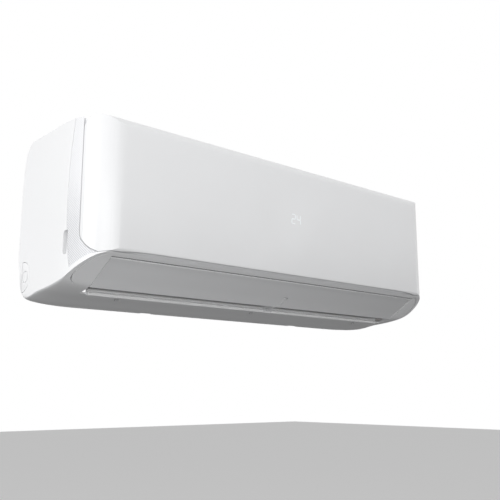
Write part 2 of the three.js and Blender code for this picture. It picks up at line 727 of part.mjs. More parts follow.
function motorCradle() {
  const from = CRADLE_LEFT;
  const to = CRADLE_LEFT + CRADLE_WIDTH;
  const middle = ribbon(SCROLL_LINE, CHASSIS_SKIN / 2).slice(SCROLL_LINE.length).reverse();
  const inside = prism("x", [...middle, [CRADLE_FRONT, 30], [CRADLE_FRONT, FAN_Z]], from - 1, to + 1);
  const inner = MOTOR_RADIUS + CLEAR + ARC_SAG;
  const ring = prism("x", arcBand(FAN_Y, FAN_Z, inner, inner + 50, 180, 345, 10), from, to);
  const swing = rod("x", LOUVER_AXIS_Y, LOUVER_AXIS_Z, LOUVER_REACH + 2 * RUNNING_CLEAR,
    from - 1, to + 1, 20);
  return cut(ring.intersect(inside), swing);
}

function rearChassis() {
  const long = HALF - SKIN - CLEAR;
  const round = body(SKIN + CLEAR);
  const sheets = chassisSection().map((outline) => prism("x", outline, -long, long).intersect(round));
  const hole = (y, z, radius, x) => rod("x", y, z, radius, x - 10, x + 10, 12);
  const left = cut(endWall(DUCT_LEFT - DUCT_WALL, -DEPTH + 25),
    hole(FAN_Y, FAN_Z, BUSH_RADIUS + CLEAR, DUCT_LEFT),
    hole(SPIGOT_Y, SPIGOT_Z, SPIGOT_RADIUS + CLEAR, DUCT_LEFT));
  const right = cut(endWall(DUCT_RIGHT, -DEPTH + 19),
    hole(FAN_Y, FAN_Z, SHAFT_RADIUS + 6, DUCT_RIGHT));
  const hookSlots = HOOK_X.map((x) =>
    box(x - 16, x + 16, -30, 0, HOOK_Z - 6, HOOK_Z + HOOK_THICK + CLEAR));
  const pins = vaneXs().map((x) => vanePinHole(x));
  return cut(union(...sheets, left, right, motorCradle()), ...hookSlots, ...pins, ...pipeHoles());
}

function vanePinHole(x) {
  const geometry = new THREE.CylinderGeometry(VANE_PIN + CLEAR, VANE_PIN + CLEAR, 16, 6);
  geometry.rotateX(Math.PI / 2);
  geometry.translate(x, 0, 0);
  return solid(toFloor(geometry));
}

// ---------- mounting plate ----------
const HOOK_Z = PLATE_TOP - 15;

function mountingPlate() {
  const parts = [box(-PLATE_HALF_X, PLATE_HALF_X, -PLATE_THICK, 0, PLATE_FOOT, PLATE_TOP)];
  for (const x of HOOK_X) {
    parts.push(box(x - 12, x + 12, -15, -0.5, HOOK_Z, HOOK_Z + HOOK_THICK));
    parts.push(box(x - 12, x + 12, -15, -13.2, HOOK_Z, PLATE_TOP - 1));
  }
  for (const x of CATCH_X) {
    parts.push(box(x - 14, x + 14, -PLATE_THICK, 0, CATCH_FOOT, PLATE_FOOT + 1));
    parts.push(box(x - 14, x + 14, -7, -PLATE_THICK + 0.5, CATCH_FOOT, CATCH_FOOT + PLATE_THICK));
  }
  const holes = [];
  for (const fromEnd of [55, 140]) {
    for (const x of [PLATE_HALF_X - fromEnd, fromEnd - PLATE_HALF_X]) {
      holes.push(box(x - 26, x + 26, -20, 20, PLATE_FOOT + 26, PLATE_FOOT + 62));
      holes.push(box(x - 26, x + 26, -20, 20, PLATE_TOP - 71, PLATE_TOP - 35));
    }
  }
  for (let i = -2; i <= 2; i++) {
    for (const z of [PLATE_FOOT + 84, PLATE_TOP - 7]) {
      holes.push(rod("y", i * 110 + 20, z, PLATE_SCREW, -20, 20, 6));
    }
  }
  return cut(union(...parts), ...holes);
}

// ---------- fan and motor ----------
const FAN_LEFT = DUCT_LEFT + FAN_HUB_GAP;
const FAN_RIGHT = DUCT_RIGHT - FAN_HUB_GAP;

function bladeOutline(angle) {
  const tip = FAN_RADIUS - 0.8;
  const root = tip - BLADE_CHORD;
  const at = (radius, turn) => [
    FAN_Y + radius * Math.cos(angle + turn),
    FAN_Z + radius * Math.sin(angle + turn),
  ];
  const line = [at(root, -0.16), at((root + tip) / 2, -0.02), at(tip, 0.17)];
  return ribbon(line, BLADE_THICK);
}

function crossFlowFan() {
  const pieces = [];
  const step = (FAN_RIGHT - FAN_LEFT - DISC_THICK) / (FAN_DISCS - 1);
  for (let i = 0; i < FAN_DISCS; i++) {
    const x = FAN_LEFT + i * step;
    const disc = rod("x", FAN_Y, FAN_Z, FAN_RADIUS, x, x + DISC_THICK, 20);
    const end = i === 0 || i === FAN_DISCS - 1;
    const bore = rod("x", FAN_Y, FAN_Z, FAN_RADIUS - BLADE_CHORD - 3, x - 1, x + DISC_THICK + 1);
    pieces.push(end ? disc : cut(disc, bore));
  }
  for (let i = 0; i < FAN_BLADES; i++) {
    const outline = bladeOutline((2 * Math.PI * i) / FAN_BLADES);
    pieces.push(prism("x", outline, FAN_LEFT + 1, FAN_RIGHT - 1));
  }
  const stub = rod("x", FAN_Y, FAN_Z, SHAFT_RADIUS, DUCT_LEFT - 8, FAN_LEFT + 1);
  const hub = rod("x", FAN_Y, FAN_Z, 14, FAN_RIGHT - 20, FAN_RIGHT - 1, 12);
  const socket = rod("x", FAN_Y, FAN_Z, SHAFT_RADIUS + CLEAR, FAN_RIGHT - 18, FAN_RIGHT + 5);
  return cut(union(...pieces, stub, hub), socket);
}

function bearingBush() {
  const outer = rod("x", FAN_Y, FAN_Z, BUSH_RADIUS, DUCT_LEFT - DUCT_WALL - 6, DUCT_LEFT);
  const flange = rod("x", FAN_Y, FAN_Z, BUSH_RADIUS + 4,
    DUCT_LEFT - DUCT_WALL - 6, DUCT_LEFT - DUCT_WALL - CLEAR, 16);
  const bore = rod("x", FAN_Y, FAN_Z, SHAFT_RADIUS + CLEAR, DUCT_LEFT - 20, DUCT_LEFT + 5);
  return cut(union(outer, flange), bore);
}

function motorShaft() {
  return rod("x", FAN_Y, FAN_Z, SHAFT_RADIUS, FAN_RIGHT - 17, MOTOR_LEFT + 40);
}

function fanMotor() {
  const can = rod("x", FAN_Y, FAN_Z, MOTOR_RADIUS, MOTOR_LEFT, MOTOR_RIGHT, 24);
  const bossLeft = rod("x", FAN_Y, FAN_Z, 12, MOTOR_LEFT - 5, MOTOR_LEFT + 1, 16);
  const bossRight = rod("x", FAN_Y, FAN_Z, 12, MOTOR_RIGHT - 1, MOTOR_RIGHT + 5, 16);
  const bore = rod("x", FAN_Y, FAN_Z, SHAFT_RADIUS + CLEAR, MOTOR_LEFT - 10, MOTOR_LEFT + 42);
  return cut(union(can, bossLeft, bossRight), bore);
}

const CRADLE_FRONT = FAN_Y - 57;
const CRADLE_LEFT = MOTOR_LEFT + 15;

function motorClamp() {
  const inner = MOTOR_RADIUS + CLEAR + ARC_SAG;
  const band = prism("x", arcBand(FAN_Y, FAN_Z, inner, inner + CLAMP_BAND, 2, 178, 12),
    CRADLE_LEFT, CRADLE_LEFT + CRADLE_WIDTH);
  const low = FAN_Z + CLEAR + 0.2;
  const front = box(CRADLE_LEFT, CRADLE_LEFT + CRADLE_WIDTH,
    FAN_Y - inner - CLAMP_EAR, FAN_Y - inner - 0.5, low, low + CLAMP_BAND);
  const hole = rod("z", CRADLE_LEFT + CRADLE_WIDTH / 2, FAN_Y - inner - CLAMP_EAR / 2, 2.6,
    low - 10, low + 10, 10);
  return cut(union(band, front), hole);
}

function clampScrew() {
  const x = CRADLE_LEFT + CRADLE_WIDTH / 2;
  const y = FAN_Y - MOTOR_RADIUS - CLEAR - ARC_SAG - CLAMP_EAR / 2;
  const top = FAN_Z + CLEAR + 0.2 + CLAMP_BAND + CLEAR;
  const head = rod("z", x, y, 3.9, top, top + 3, 10);
  const stem = rod("z", x, y, 2, FAN_Z + 0.3, top + 1, 8);
  return union(head, stem);
}

// ---------- evaporator ----------
const COIL_LEFT = DUCT_LEFT + COIL_END + SHEET_THICK + CLEAR;
const COIL_RIGHT = DUCT_RIGHT - COIL_END - SHEET_THICK - CLEAR - 12;
const SLABS = {
  evaporator_front_lower: fromFan([[-88, COIL_FOOT], [-88, COIL_KNEE - 14]]),
  evaporator_front_upper: fromFan([[-87, COIL_KNEE], [-35, COIL_KNEE + 52]]),
  evaporator_rear: fromFan([[-6, COIL_KNEE + 52], [54, COIL_KNEE - 8]]),
};

function slabOutline([from, to], extra) {
  const along = new THREE.Vector2(to[0] - from[0], to[1] - from[1]).normalize();
  const across = new THREE.Vector2(-along.y, along.x).multiplyScalar(COIL_THICK / 2 + extra);
  const a = new THREE.Vector2(...from).addScaledVector(along, -extra);
  const b = new THREE.Vector2(...to).addScaledVector(along, extra);
  return [a.clone().add(across), a.clone().sub(across), b.clone().sub(across), b.clone().add(across)]
    .map((p) => [p.x, p.y]);
}

function evaporatorSlab(ends) {
  const core = prism("x", slabOutline(ends, -1.2), COIL_LEFT, COIL_RIGHT);
  const fins = [];
  const pitch = (COIL_RIGHT - COIL_LEFT - FIN_WIDE) / (FINS - 1);
  for (let i = 0; i < FINS; i++) {
    const x = COIL_LEFT + i * pitch;
    fins.push(prism("x", slabOutline(ends, 0), x, x + FIN_WIDE));
  }
  return union(core, ...fins);
}

// A copper bend that joins two tubes of the coil outside the tube sheet.
function returnBend(at, along, x) {
  const reach = BEND_PITCH / 2;
  const steps = 5;
  const points = [];
  for (let i = 0; i <= steps; i++) {
    const angle = Math.PI * (i / steps);
    const span = -reach * Math.cos(angle);
    points.push(new THREE.Vector3(
      x + reach * Math.sin(angle), at[0] + along.x * span, at[1] + along.y * span));
  }
  points[0].x -= BEND_SEAT;
  points[steps].x -= BEND_SEAT;
  const path = new THREE.CatmullRomCurve3(points);
  const section = new THREE.Shape(circle(0, 0, BEND_TUBE, 5).map((p) => new THREE.Vector2(...p)));
  return solid(new THREE.ExtrudeGeometry(section, { steps, extrudePath: path, bevelEnabled: false }));
}

function returnBends(x) {
  const bends = [];
  for (const ends of Object.values(SLABS)) {
    const from = new THREE.Vector2(...ends[0]);
    const along = new THREE.Vector2(...ends[1]).sub(from);
    const length = along.length();
    along.normalize();
    for (const share of ends === SLABS.evaporator_rear ? [0.2] : [0.2, 0.8]) {
      const at = from.clone().addScaledVector(along, length * share);
      bends.push(returnBend([at.x, at.y], along, x));
    }
  }
  return bends;
}

function tubeSheet(side) {
  const x0 = side < 0 ? COIL_LEFT - SHEET_THICK - CLEAR : COIL_RIGHT + CLEAR;
  const outer = side < 0 ? x0 : x0 + SHEET_THICK;
  const sheet = (outline) => prism("x", outline, x0, x0 + SHEET_THICK);
  const plates = Object.values(SLABS).map((ends) => sheet(slabOutline(ends, 2.6)));
  const bridge = sheet(sheetOutline(FAN_Y - 38, FAN_Y, COIL_KNEE + 34, COIL_KNEE + 48));
  const lower = sheet(fromFan([[-99, COIL_KNEE - 20], [-77, COIL_KNEE - 20],
    [-77, COIL_KNEE + 4], [-93, COIL_KNEE + 4]]));
  const bends = side > 0 ? returnBends(outer) : [];
  const footX = side < 0 ? [DUCT_LEFT + CLEAR, x0 + 0.5] : [outer - 0.5, DUCT_RIGHT - CLEAR];
  const foot = box(footX[0], footX[1], FAN_Y - 94, FAN_Y - 82, 121, 132);
  return union(...plates, bridge, lower, ...bends, foot);
}

// ---------- drain pan ----------
const SPIGOT_Y = FAN_Y - 91;
const PAN_LEFT = DUCT_LEFT + CLEAR;
const PAN_RIGHT = DUCT_RIGHT - CLEAR;

function drainPan() {
  const profile = fromFan([
    [-52, 84], [-52, 96], [-55, 96], [-57, 86], [-88, 70.5], [-105, 64], [-109.5, 64],
    [-109.5, 84], [-112.5, 84], [-113, 60], [-110, 56],
  ]);
  const tray = prism("x", profile, PAN_LEFT, PAN_RIGHT);
  const ends = fromFan([[-53, 83], [-110, 83], [-110, 60]]);
  const left = prism("x", ends, PAN_LEFT, PAN_LEFT + SKIN);
  const right = prism("x", ends, PAN_RIGHT - SKIN, PAN_RIGHT);
  const spigot = rod("x", SPIGOT_Y, SPIGOT_Z, SPIGOT_RADIUS, DUCT_LEFT - 18, PAN_LEFT + SKIN, 12);
  const bore = rod("x", SPIGOT_Y, SPIGOT_Z, SPIGOT_BORE, DUCT_LEFT - 19, PAN_LEFT + 5, 12);
  const rests = [DUCT_LEFT + 60, DUCT_MID - 2, DUCT_RIGHT - 64].map((x) =>
    box(x, x + 4, FAN_Y - 94, FAN_Y - 82, 71, 84));
  return cut(union(tray, left, right, spigot, ...rests), bore);
}

function drainPlug() {
  const cap = rod("x", SPIGOT_Y, SPIGOT_Z, SPIGOT_RADIUS + 2.5, DUCT_LEFT - 22, DUCT_LEFT - 9, 14);
  const bore = rod("x", SPIGOT_Y, SPIGOT_Z, SPIGOT_RADIUS + CLEAR,
    DUCT_LEFT - 18 - CLEAR, DUCT_LEFT - 8, 14);
  const stem = rod("x", SPIGOT_Y, SPIGOT_Z, SPIGOT_BORE - CLEAR, DUCT_LEFT - 21, DUCT_LEFT - 12, 10);
  return union(cut(cap, bore), stem);
}

// ---------- pipes ----------
// A line through given points, with a station at each point and nowhere else.
class Route extends THREE.Curve {
  constructor(points) {
    super();
    this.points = points;
  }
  getPointAt(share, target = new THREE.Vector3()) {
    const at = share * (this.points.length - 1);
    const i = Math.min(Math.floor(at + 1e-9), this.points.length - 2);
    return target.copy(this.points[i]).lerp(this.points[i + 1], at - i);
  }
  getTangentAt(share, target = new THREE.Vector3()) {
    const i = Math.round(share * (this.points.length - 1));
    const before = this.points[Math.max(i - 1, 0)];
    const after = this.points[Math.min(i + 1, this.points.length - 1)];
    return target.copy(after).sub(before).normalize();
  }
}

function pipe(radius, corners, sides = 8) {
  const at = corners.map((p) => new THREE.Vector3(...p));
  const stations = [at[0]];
  for (let i = 1; i + 1 < at.length; i++) {
    const into = at[i].clone().sub(at[i - 1]);
    const out = at[i + 1].clone().sub(at[i]);
    const bend = Math.min(radius * 1.8, 0.48 * into.length(), 0.48 * out.length());
    into.setLength(bend);
    out.setLength(bend);
    const turn = new THREE.QuadraticBezierCurve3(
      at[i].clone().sub(into), at[i], at[i].clone().add(out));
    stations.push(...turn.getPoints(4));
  }
  stations.push(at[at.length - 1]);
  const section = new THREE.Shape(circle(0, 0, radius, sides).map((p) => new THREE.Vector2(...p)));
  return solid(new THREE.ExtrudeGeometry(section, {
    steps: stations.length - 1, extrudePath: new Route(stations), bevelEnabled: false,
  }));
}

// Each pipe leaves the coil at the right tube sheet, turns down behind the fan motor, goes through
// the shelf and runs back along the open trough to a flare nut.
const PIPES = {
  suction: {
    radius: 7.5, outY: FAN_Y + 48, outZ: COIL_KNEE - 2, turnX: HALF - 21, y: -26, z: 44,
    end: -60, nut: 14, nutLength: 22,
  },
  liquid: {
    radius: 5, outY: FAN_Y + 28, outZ: COIL_KNEE + 18, turnX: HALF - 39, y: -43, z: 22,
    end: -20, nut: 10, nutLength: 18,
  },
};

function coilPipe(p) {
  const start = COIL_RIGHT + SHEET_THICK + 2 * CLEAR;
  return pipe(p.radius, [
    [start, p.outY, p.outZ], [p.turnX, p.outY, p.outZ], [p.turnX, p.y, p.outZ],
    [p.turnX, p.y, p.z], [p.end, p.y, p.z],
  ]);
}

function flareNut(p) {
  const body = rod("x", p.y, p.z, p.nut, p.end - p.nutLength + 4, p.end + 4, 6);
  const bore = rod("x", p.y, p.z, p.radius + CLEAR, p.end - p.nutLength, p.end + 5, 8);
  return cut(body, bore);
}

function pipeHoles() {
  return Object.values(PIPES).flatMap((p) => [
    rod("x", p.outY, p.outZ, p.radius + CLEAR, DUCT_RIGHT - 5, DUCT_RIGHT + 10, 8),
    rod("z", p.turnX, p.y, p.radius + CLEAR, SHELF_Z - 5, SHELF_Z + 10, 8),
  ]);
}

// ---------- controls ----------
function controlBox() {
  const shell = box(BOX_LEFT, BOX_RIGHT, BOX_FRONT, BOX_BACK, BOX_FOOT, BOX_TOP);
  const room = box(BOX_LEFT + BOX_SKIN, BOX_RIGHT - BOX_SKIN, BOX_FRONT - 5, BOX_BACK - BOX_SKIN,
    BOX_FOOT + BOX_SKIN, BOX_TOP - BOX_SKIN);
  const round = body(RECESS + SKIN + 1);
  return cut(shell, room).intersect(round);
}

function controlBoxCover() {
  const plate = box(BOX_LEFT, BOX_RIGHT, BOX_FRONT - CLEAR - 2, BOX_FRONT - CLEAR, BOX_FOOT, BOX_TOP);
  const guide = rod("y", BUTTON_X, BUTTON_Z, 7, BOX_FRONT - CLEAR - 8, BOX_FRONT - CLEAR, 16);
  const bore = rod("y", BUTTON_X, BUTTON_Z, 4.6, BOX_FRONT - 20, BOX_FRONT + 5, 16);
  return cut(union(plate.intersect(body(RECESS + SKIN + 1)), guide), bore);
}

const BUTTON_X = BOX_LEFT + 23.7;

function manualButton() {
  const stem = rod("y", BUTTON_X, BUTTON_Z, 4.2, BOX_FRONT - 12, BOX_FRONT + 1, 14);
  const collar = rod("y", BUTTON_X, BUTTON_Z, 6, BOX_FRONT + CLEAR, BOX_FRONT + 2, 14);
  return union(stem, collar);
}

function circuitBoard() {
  const y = BOX_BACK - BOX_SKIN - CLEAR;
  const x = BOX_LEFT;
  const low = BOX_FOOT + 26;
  const high = BOX_TOP - 8;
  const board = box(x + 4, BOX_RIGHT - 12, y - 4, y - 2.4, low, high);
  const corners = [x + 10, BOX_RIGHT - 20].flatMap((u) => [[u, low + 8], [u, high - 8]]);
  const posts = corners.map(([u, z]) => rod("y", u, z, 2.5, y - 3, y, 6));
  const transformer = box(x + 8, x + 38, y - 26, y - 3, high - 42, high - 12);
  const relay = box(x + 44, x + 62, y - 18, y - 3, high - 38, high - 12);
  const capacitor = rod("y", x + 22, low + 36, 10, y - 28, y - 3, 12);
  const chip = box(x + 40, x + 60, y - 6, y - 3, low + 32, low + 52);
  const plugs = [8, 28, 48].map((u) => box(x + u, x + u + 14, y - 12, y - 3, low + 6, low + 14));
  return union(board, ...posts, transformer, relay, capacitor, chip, ...plugs);
}

function terminalBlock() {
  const y = BOX_BACK - BOX_SKIN - CLEAR;
  const foot = BOX_FOOT + 5;
  const base = box(BOX_LEFT + 6, BOX_RIGHT - 16, y - 18, y, foot, foot + 16);
  const pitch = (BOX_RIGHT - BOX_LEFT - 22 - 4.4) / TERMINALS;
  const slots = [];
  for (let i = 0; i < TERMINALS; i++) {
    const x = BOX_LEFT + 9 + i * pitch;
    slots.push(box(x, x + 8, y - 30, y - 10, foot + 3, foot + 13));
  }
  return cut(base, ...slots);
}

const DISPLAY_Z = HEIGHT - DISPLAY_DOWN;

function displayBoard() {
  const y = -DEPTH + RECESS - CLEAR;
  return box(-DISPLAY_HALF, DISPLAY_HALF, y, y + DISPLAY_THICK,
    DISPLAY_Z - DISPLAY_TALL / 2, DISPLAY_Z + DISPLAY_TALL / 2);
}

function displayPocket() {
  const half = DISPLAY_HALF + RUNNING_CLEAR;
  const tall = DISPLAY_TALL / 2 + RUNNING_CLEAR;
  return box(-half, half, -DEPTH - 5, -DEPTH + RECESS + DISPLAY_THICK + 0.2,
    DISPLAY_Z - tall, DISPLAY_Z + tall);
}

// ---------- filters ----------
function filterArc(inner, outer, from, to, steps, x0, x1) {
  return prism("x", arcBand(FILTER_Y, FILTER_Z, inner, outer, from, to, steps), x0, x1);
}

function airFilter(x0, x1) {
  const frame = filterArc(FILTER_RADIUS - FILTER_THICK, FILTER_RADIUS, FILTER_FROM, FILTER_TO, 8, x0, x1);
  const width = (x1 - x0 - FILTER_BAR) / FILTER_CELLS;
  const sweep = (FILTER_FROM - FILTER_TO - 8) / FILTER_ROWS;
  const cells = [];
  for (let i = 0; i < FILTER_CELLS; i++) {
    for (let j = 0; j < FILTER_ROWS; j++) {
      const from = FILTER_FROM - 5 - j * sweep;
      cells.push(filterArc(FILTER_RADIUS - 8, FILTER_RADIUS + 8, from, from - sweep + 3, 2,
        x0 + FILTER_BAR + i * width, x0 + (i + 1) * width));
    }
  }
  const mesh = filterArc(FILTER_RADIUS - 1.6, FILTER_RADIUS - 1, FILTER_FROM - 3, FILTER_TO + 3, 8,
    x0 + 3, x1 - 3);
  return union(cut(frame, ...cells), mesh);
}

// ---------- louver ----------
function louver() {
  const blade = prism("x", ribbon(LOUVER_LINE, LOUVER_THICK), -LOUVER_HALF, LOUVER_HALF);
  const ears = [-1, 1].map((side) => {
    const x0 = side > 0 ? LOUVER_HALF - 3 : -LOUVER_HALF;
    return prism("x", LOUVER_EAR, x0, x0 + 3);
  });
  const pinLeft = rod("x", LOUVER_AXIS_Y, LOUVER_AXIS_Z, LOUVER_PIN,
    -CHEEK_IN - CHEEK_WALL + 0.5, -LOUVER_HALF + 1, 12);
  const pinRight = rod("x", LOUVER_AXIS_Y, LOUVER_AXIS_Z, LOUVER_PIN,
    LOUVER_HALF - 1, CHEEK_IN + CHEEK_WALL + 4, 12);
  const centre = [-1, 1].map((side) => {
    const x0 = BRACKET_X + side * 8 - 1.5;
    return prism("x", LOUVER_EAR, x0, x0 + 3);
  });
  const centrePin = rod("x", LOUVER_AXIS_Y, LOUVER_AXIS_Z, CENTRE_PIN, BRACKET_X - 8, BRACKET_X + 8, 10);
  const notch = box(BRACKET_X - NOTCH_HALF, BRACKET_X + NOTCH_HALF,
    LOUVER_AXIS_Y - 11, LOUVER_AXIS_Y + 21, 0, 60);
  return union(cut(blade, notch), ...ears, pinLeft, pinRight, ...centre, centrePin);
}

const NOTCH_HALF = BRACKET_HALF + RUNNING_CLEAR;
const LOUVER_EAR = fromFan([[-78, 28.5], [-75, 35], [-59, 32.5], [-53, 27], [-52, 13], [-60, 18]]);

function louverBracket() {
  const seat = RISER_Y - SKIN - CLEAR;
  const reach = fromFan([[-28, 15], [-48, 29], [-61, 31.5], [-64.5, 26], [-60, 20.6], [-51, 20.6],
    [-38, 9]]);
  const arm = prism("x", [[seat, 2.5], [seat, 11.6], ...reach],
    BRACKET_X - BRACKET_HALF, BRACKET_X + BRACKET_HALF);
  const bore = rod("x", LOUVER_AXIS_Y, LOUVER_AXIS_Z, CENTRE_PIN + CLEAR,
    BRACKET_X - 8, BRACKET_X + 8, 10);
  return cut(arm, bore);
}

function louverMotor() {
  const x0 = CHEEK_IN + CHEEK_WALL + CLEAR;
  const can = rod("x", LOUVER_AXIS_Y, LOUVER_AXIS_Z + 8, 13, x0 + 7, x0 + 24, 16);
  const cap = rod("x", LOUVER_AXIS_Y, LOUVER_AXIS_Z + 8, 14, x0, x0 + 8, 16);
  const bore = rod("x", LOUVER_AXIS_Y, LOUVER_AXIS_Z, LOUVER_PIN + CLEAR, x0 - 2, x0 + 6, 12);
  return cut(union(can, cap), bore).intersect(body(SKIN + CLEAR));
}

// ---------- vanes ----------
// One vane in the floor's own frame: -Y runs forward along the floor and +Z stands off it.
function vane() {
  const outline = [[8, 0.6], [-18, 0.6], [-20, VANE_HEIGHT - 2], [-16, VANE_HEIGHT],
    [-8, VANE_HEIGHT], [6, 20]];
  const blade = prism("x", outline, -VANE_THICK / 2, VANE_THICK / 2);
  const pin = rod("z", 0, 0, VANE_PIN, -1.8, 2.4, 6);
  const crank = rod("z", 0, -VANE_CRANK, 1.4, VANE_HEIGHT - 3, VANE_HEIGHT + 2.2, 5);
  return union(blade, pin, crank);
}

function vaneBar(xs) {
  const from = Math.min(...xs) - 10;
  const to = Math.max(...xs) + 10;
  const bar = box(from, to, -VANE_CRANK - 5.6, -VANE_CRANK + 4.4, VANE_HEIGHT + CLEAR, VANE_HEIGHT + 2);
  const slots = xs.map((x) =>
    box(x - 2.1, x + 2.1, -VANE_CRANK - 1.8, -VANE_CRANK + 3.9, VANE_HEIGHT - 2, VANE_HEIGHT + 4));
  return cut(bar, ...slots);
}

// ---------- small pieces ----------
const SCREW_X = [SCREW_IN - HALF, 0, HALF - SCREW_IN];
const SCREW_Y = RISER_Y + 10;

function casingScrew(x) {
  const head = rod("z", x, SCREW_Y, 3.8, -3.6, -1.4, 8);
  const stem = rod("z", x, SCREW_Y, 1.9, -2, 9, 6);
  return union(head, stem);
}

// ---------- assembly ----------
const pieces = new THREE.Group();
pieces.position.z = -PLATE_MID_Z;

function add(name, made, material, parent = pieces) {
  const mesh = new THREE.Mesh(geometryOf(made), material);
  mesh.name = name;
  parent.add(mesh);
  return mesh;
}

add("mounting_plate", mountingPlate(), zincSteel);
add("rear_chassis", rearChassis(), whiteMatt);
add("casing", cut(casing(), displayPocket()), whiteGloss);
add("side_strip_left", sideStrip(-1), whiteMatt);
add("side_strip_right", sideStrip(1), whiteMatt);
add("top_inlet_grille", topGrille(), whiteMatt);
add("front_panel", frontPanel(), whiteGloss);
add("pipe_knockout_left", pipeKnockout(-1), whiteGloss);
add("pipe_knockout_right", pipeKnockout(1), whiteGloss);

for (const [name, ends] of Object.entries(SLABS)) add(name, evaporatorSlab(ends), aluminium);
add("tube_sheet_left", tubeSheet(-1), zincSteel);
add("tube_sheet_right", tubeSheet(1), copper);
for (const [name, p] of Object.entries(PIPES)) {
  add(name + "_pipe", coilPipe(p), copper);
  add(name + "_flare_nut", flareNut(p), brass);
}
add("drain_pan", drainPan(), whiteMatt);
add("drain_plug", drainPlug(), rubber);

add("cross_flow_fan", crossFlowFan(), darkPlastic);
add("fan_bearing_bush", bearingBush(), rubber);
add("fan_motor_shaft", motorShaft(), zincSteel);
add("fan_motor", fanMotor(), zincSteel);
add("motor_clamp", motorClamp(), zincSteel);
add("motor_clamp_screw", clampScrew(), zincSteel);

add("control_box", controlBox(), greyPlastic);
add("control_box_cover", controlBoxCover(), greyPlastic);
add("circuit_board", circuitBoard(), green);
add("terminal_block", terminalBlock(), darkPlastic);
add("manual_button", manualButton(), whiteMatt);
add("display_board", displayBoard(), green);

add("filter_left", airFilter(-FILTER_OUTER_LEFT, -FILTER_INNER), filterBlue);
add("filter_right", airFilter(FILTER_INNER, FILTER_OUTER_RIGHT), filterBlue);

add("louver", louver(), louverGrey);
add("louver_centre_bracket", louverBracket(), whiteMatt);
add("louver_motor", louverMotor(), zincSteel);

const floor = new THREE.Group();
floor.position.set(0, FLOOR_Y, FLOOR_Z);
floor.rotation.x = THREE.MathUtils.degToRad(FLOOR_TILT);
pieces.add(floor);
const xs = vaneXs();
xs.forEach((x, i) => {
  const mesh = add("vane_" + (i + 1), vane(), whiteMatt, floor);
  mesh.position.x = x;
});
add("vane_bar_left", vaneBar(xs.slice(0, VANES_A_SIDE)), whiteMatt, floor);
add("vane_bar_right", vaneBar(xs.slice(VANES_A_SIDE)), whiteMatt, floor);

SCREW_X.forEach((x, i) => add("casing_screw_" + (i + 1), casingScrew(x), zincSteel));

const unit = new THREE.Group();
unit.add(pieces);
export default unit;
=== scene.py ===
# %% [markdown]
# # A wall-hung indoor unit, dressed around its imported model
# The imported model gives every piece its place. Here the pieces that show get smooth surfaces,
# fine edges and finishes, and the rest keep their solids and get a material.

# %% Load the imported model
import json
import math

import bpy
import numpy as np
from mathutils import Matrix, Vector


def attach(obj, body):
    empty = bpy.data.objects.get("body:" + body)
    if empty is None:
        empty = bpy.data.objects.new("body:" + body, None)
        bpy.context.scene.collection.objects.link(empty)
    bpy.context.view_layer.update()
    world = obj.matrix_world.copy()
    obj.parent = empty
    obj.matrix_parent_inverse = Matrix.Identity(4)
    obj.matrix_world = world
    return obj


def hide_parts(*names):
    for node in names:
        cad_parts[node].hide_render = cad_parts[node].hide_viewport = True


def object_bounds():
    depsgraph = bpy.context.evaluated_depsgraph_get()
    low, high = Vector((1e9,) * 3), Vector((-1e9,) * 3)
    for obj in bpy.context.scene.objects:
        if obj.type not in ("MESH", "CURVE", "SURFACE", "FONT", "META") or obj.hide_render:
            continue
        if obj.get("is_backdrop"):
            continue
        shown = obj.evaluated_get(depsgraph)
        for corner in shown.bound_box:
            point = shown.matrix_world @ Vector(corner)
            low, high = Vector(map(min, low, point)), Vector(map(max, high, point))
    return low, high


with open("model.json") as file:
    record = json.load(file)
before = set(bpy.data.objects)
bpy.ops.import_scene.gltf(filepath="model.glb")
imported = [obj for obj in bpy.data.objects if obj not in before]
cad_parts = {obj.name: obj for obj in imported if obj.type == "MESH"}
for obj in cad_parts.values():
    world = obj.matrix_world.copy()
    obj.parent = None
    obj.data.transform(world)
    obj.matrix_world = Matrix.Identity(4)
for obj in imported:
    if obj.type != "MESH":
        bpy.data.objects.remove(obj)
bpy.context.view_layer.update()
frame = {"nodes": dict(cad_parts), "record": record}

scene = bpy.context.scene
MM = 0.001
PLATE_MID = 150  # drawn heights count from the foot of the side walls, the model's from here
print("packed pieces:", len(frame["nodes"]))

# %% [markdown]
# ## Working by hand, in code
# An operator acts on whatever is selected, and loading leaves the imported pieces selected. So each
# step first deselects everything and picks one object. A modifier is applied as soon as it is made,
# so what the next step works on is the finished mesh.


# %% One object at a time
def only(obj):
    bpy.ops.object.select_all(action="DESELECT")
    obj.select_set(True)
    bpy.context.view_layer.objects.active = obj


def in_edit(obj, step):
    only(obj)
    bpy.ops.object.mode_set(mode="EDIT")
    bpy.ops.mesh.select_all(action="SELECT")
    step()
    bpy.ops.object.mode_set(mode="OBJECT")


def modify(obj, kind, **settings):
    only(obj)
    modifier = obj.modifiers.new(kind.lower(), kind)
    for name, value in settings.items():
        setattr(modifier, name, value)
    bpy.ops.object.modifier_apply(modifier=modifier.name)


def soften(obj, width, segments, degrees):
    """A bevel, in millimetres, on each edge that turns by more than this."""
    modify(obj, "BEVEL", width=width * MM, segments=segments, limit_method="ANGLE",
           angle_limit=math.radians(degrees))


def smooth(obj, degrees=28):
    only(obj)
    bpy.ops.object.shade_smooth_by_angle(angle=math.radians(degrees))


def faces_out(obj):
    in_edit(obj, lambda: bpy.ops.mesh.normals_make_consistent(inside=False))


print("modelling helpers ready")

# %% [markdown]
# Moulded parts could be pushed into shape by eye, but drawings are easier to check. A drawn outline
# becomes a face, and one extrude makes it a prism. Outlines are written in millimetres, as on a
# drawing, and become metres where the mesh is made. Joining and cutting such prisms does the rest.


# %% Outlines into solids
def place(points):
    shifted = np.asarray(points, float) - (0, 0, PLATE_MID)
    return [tuple(p) for p in shifted * MM]


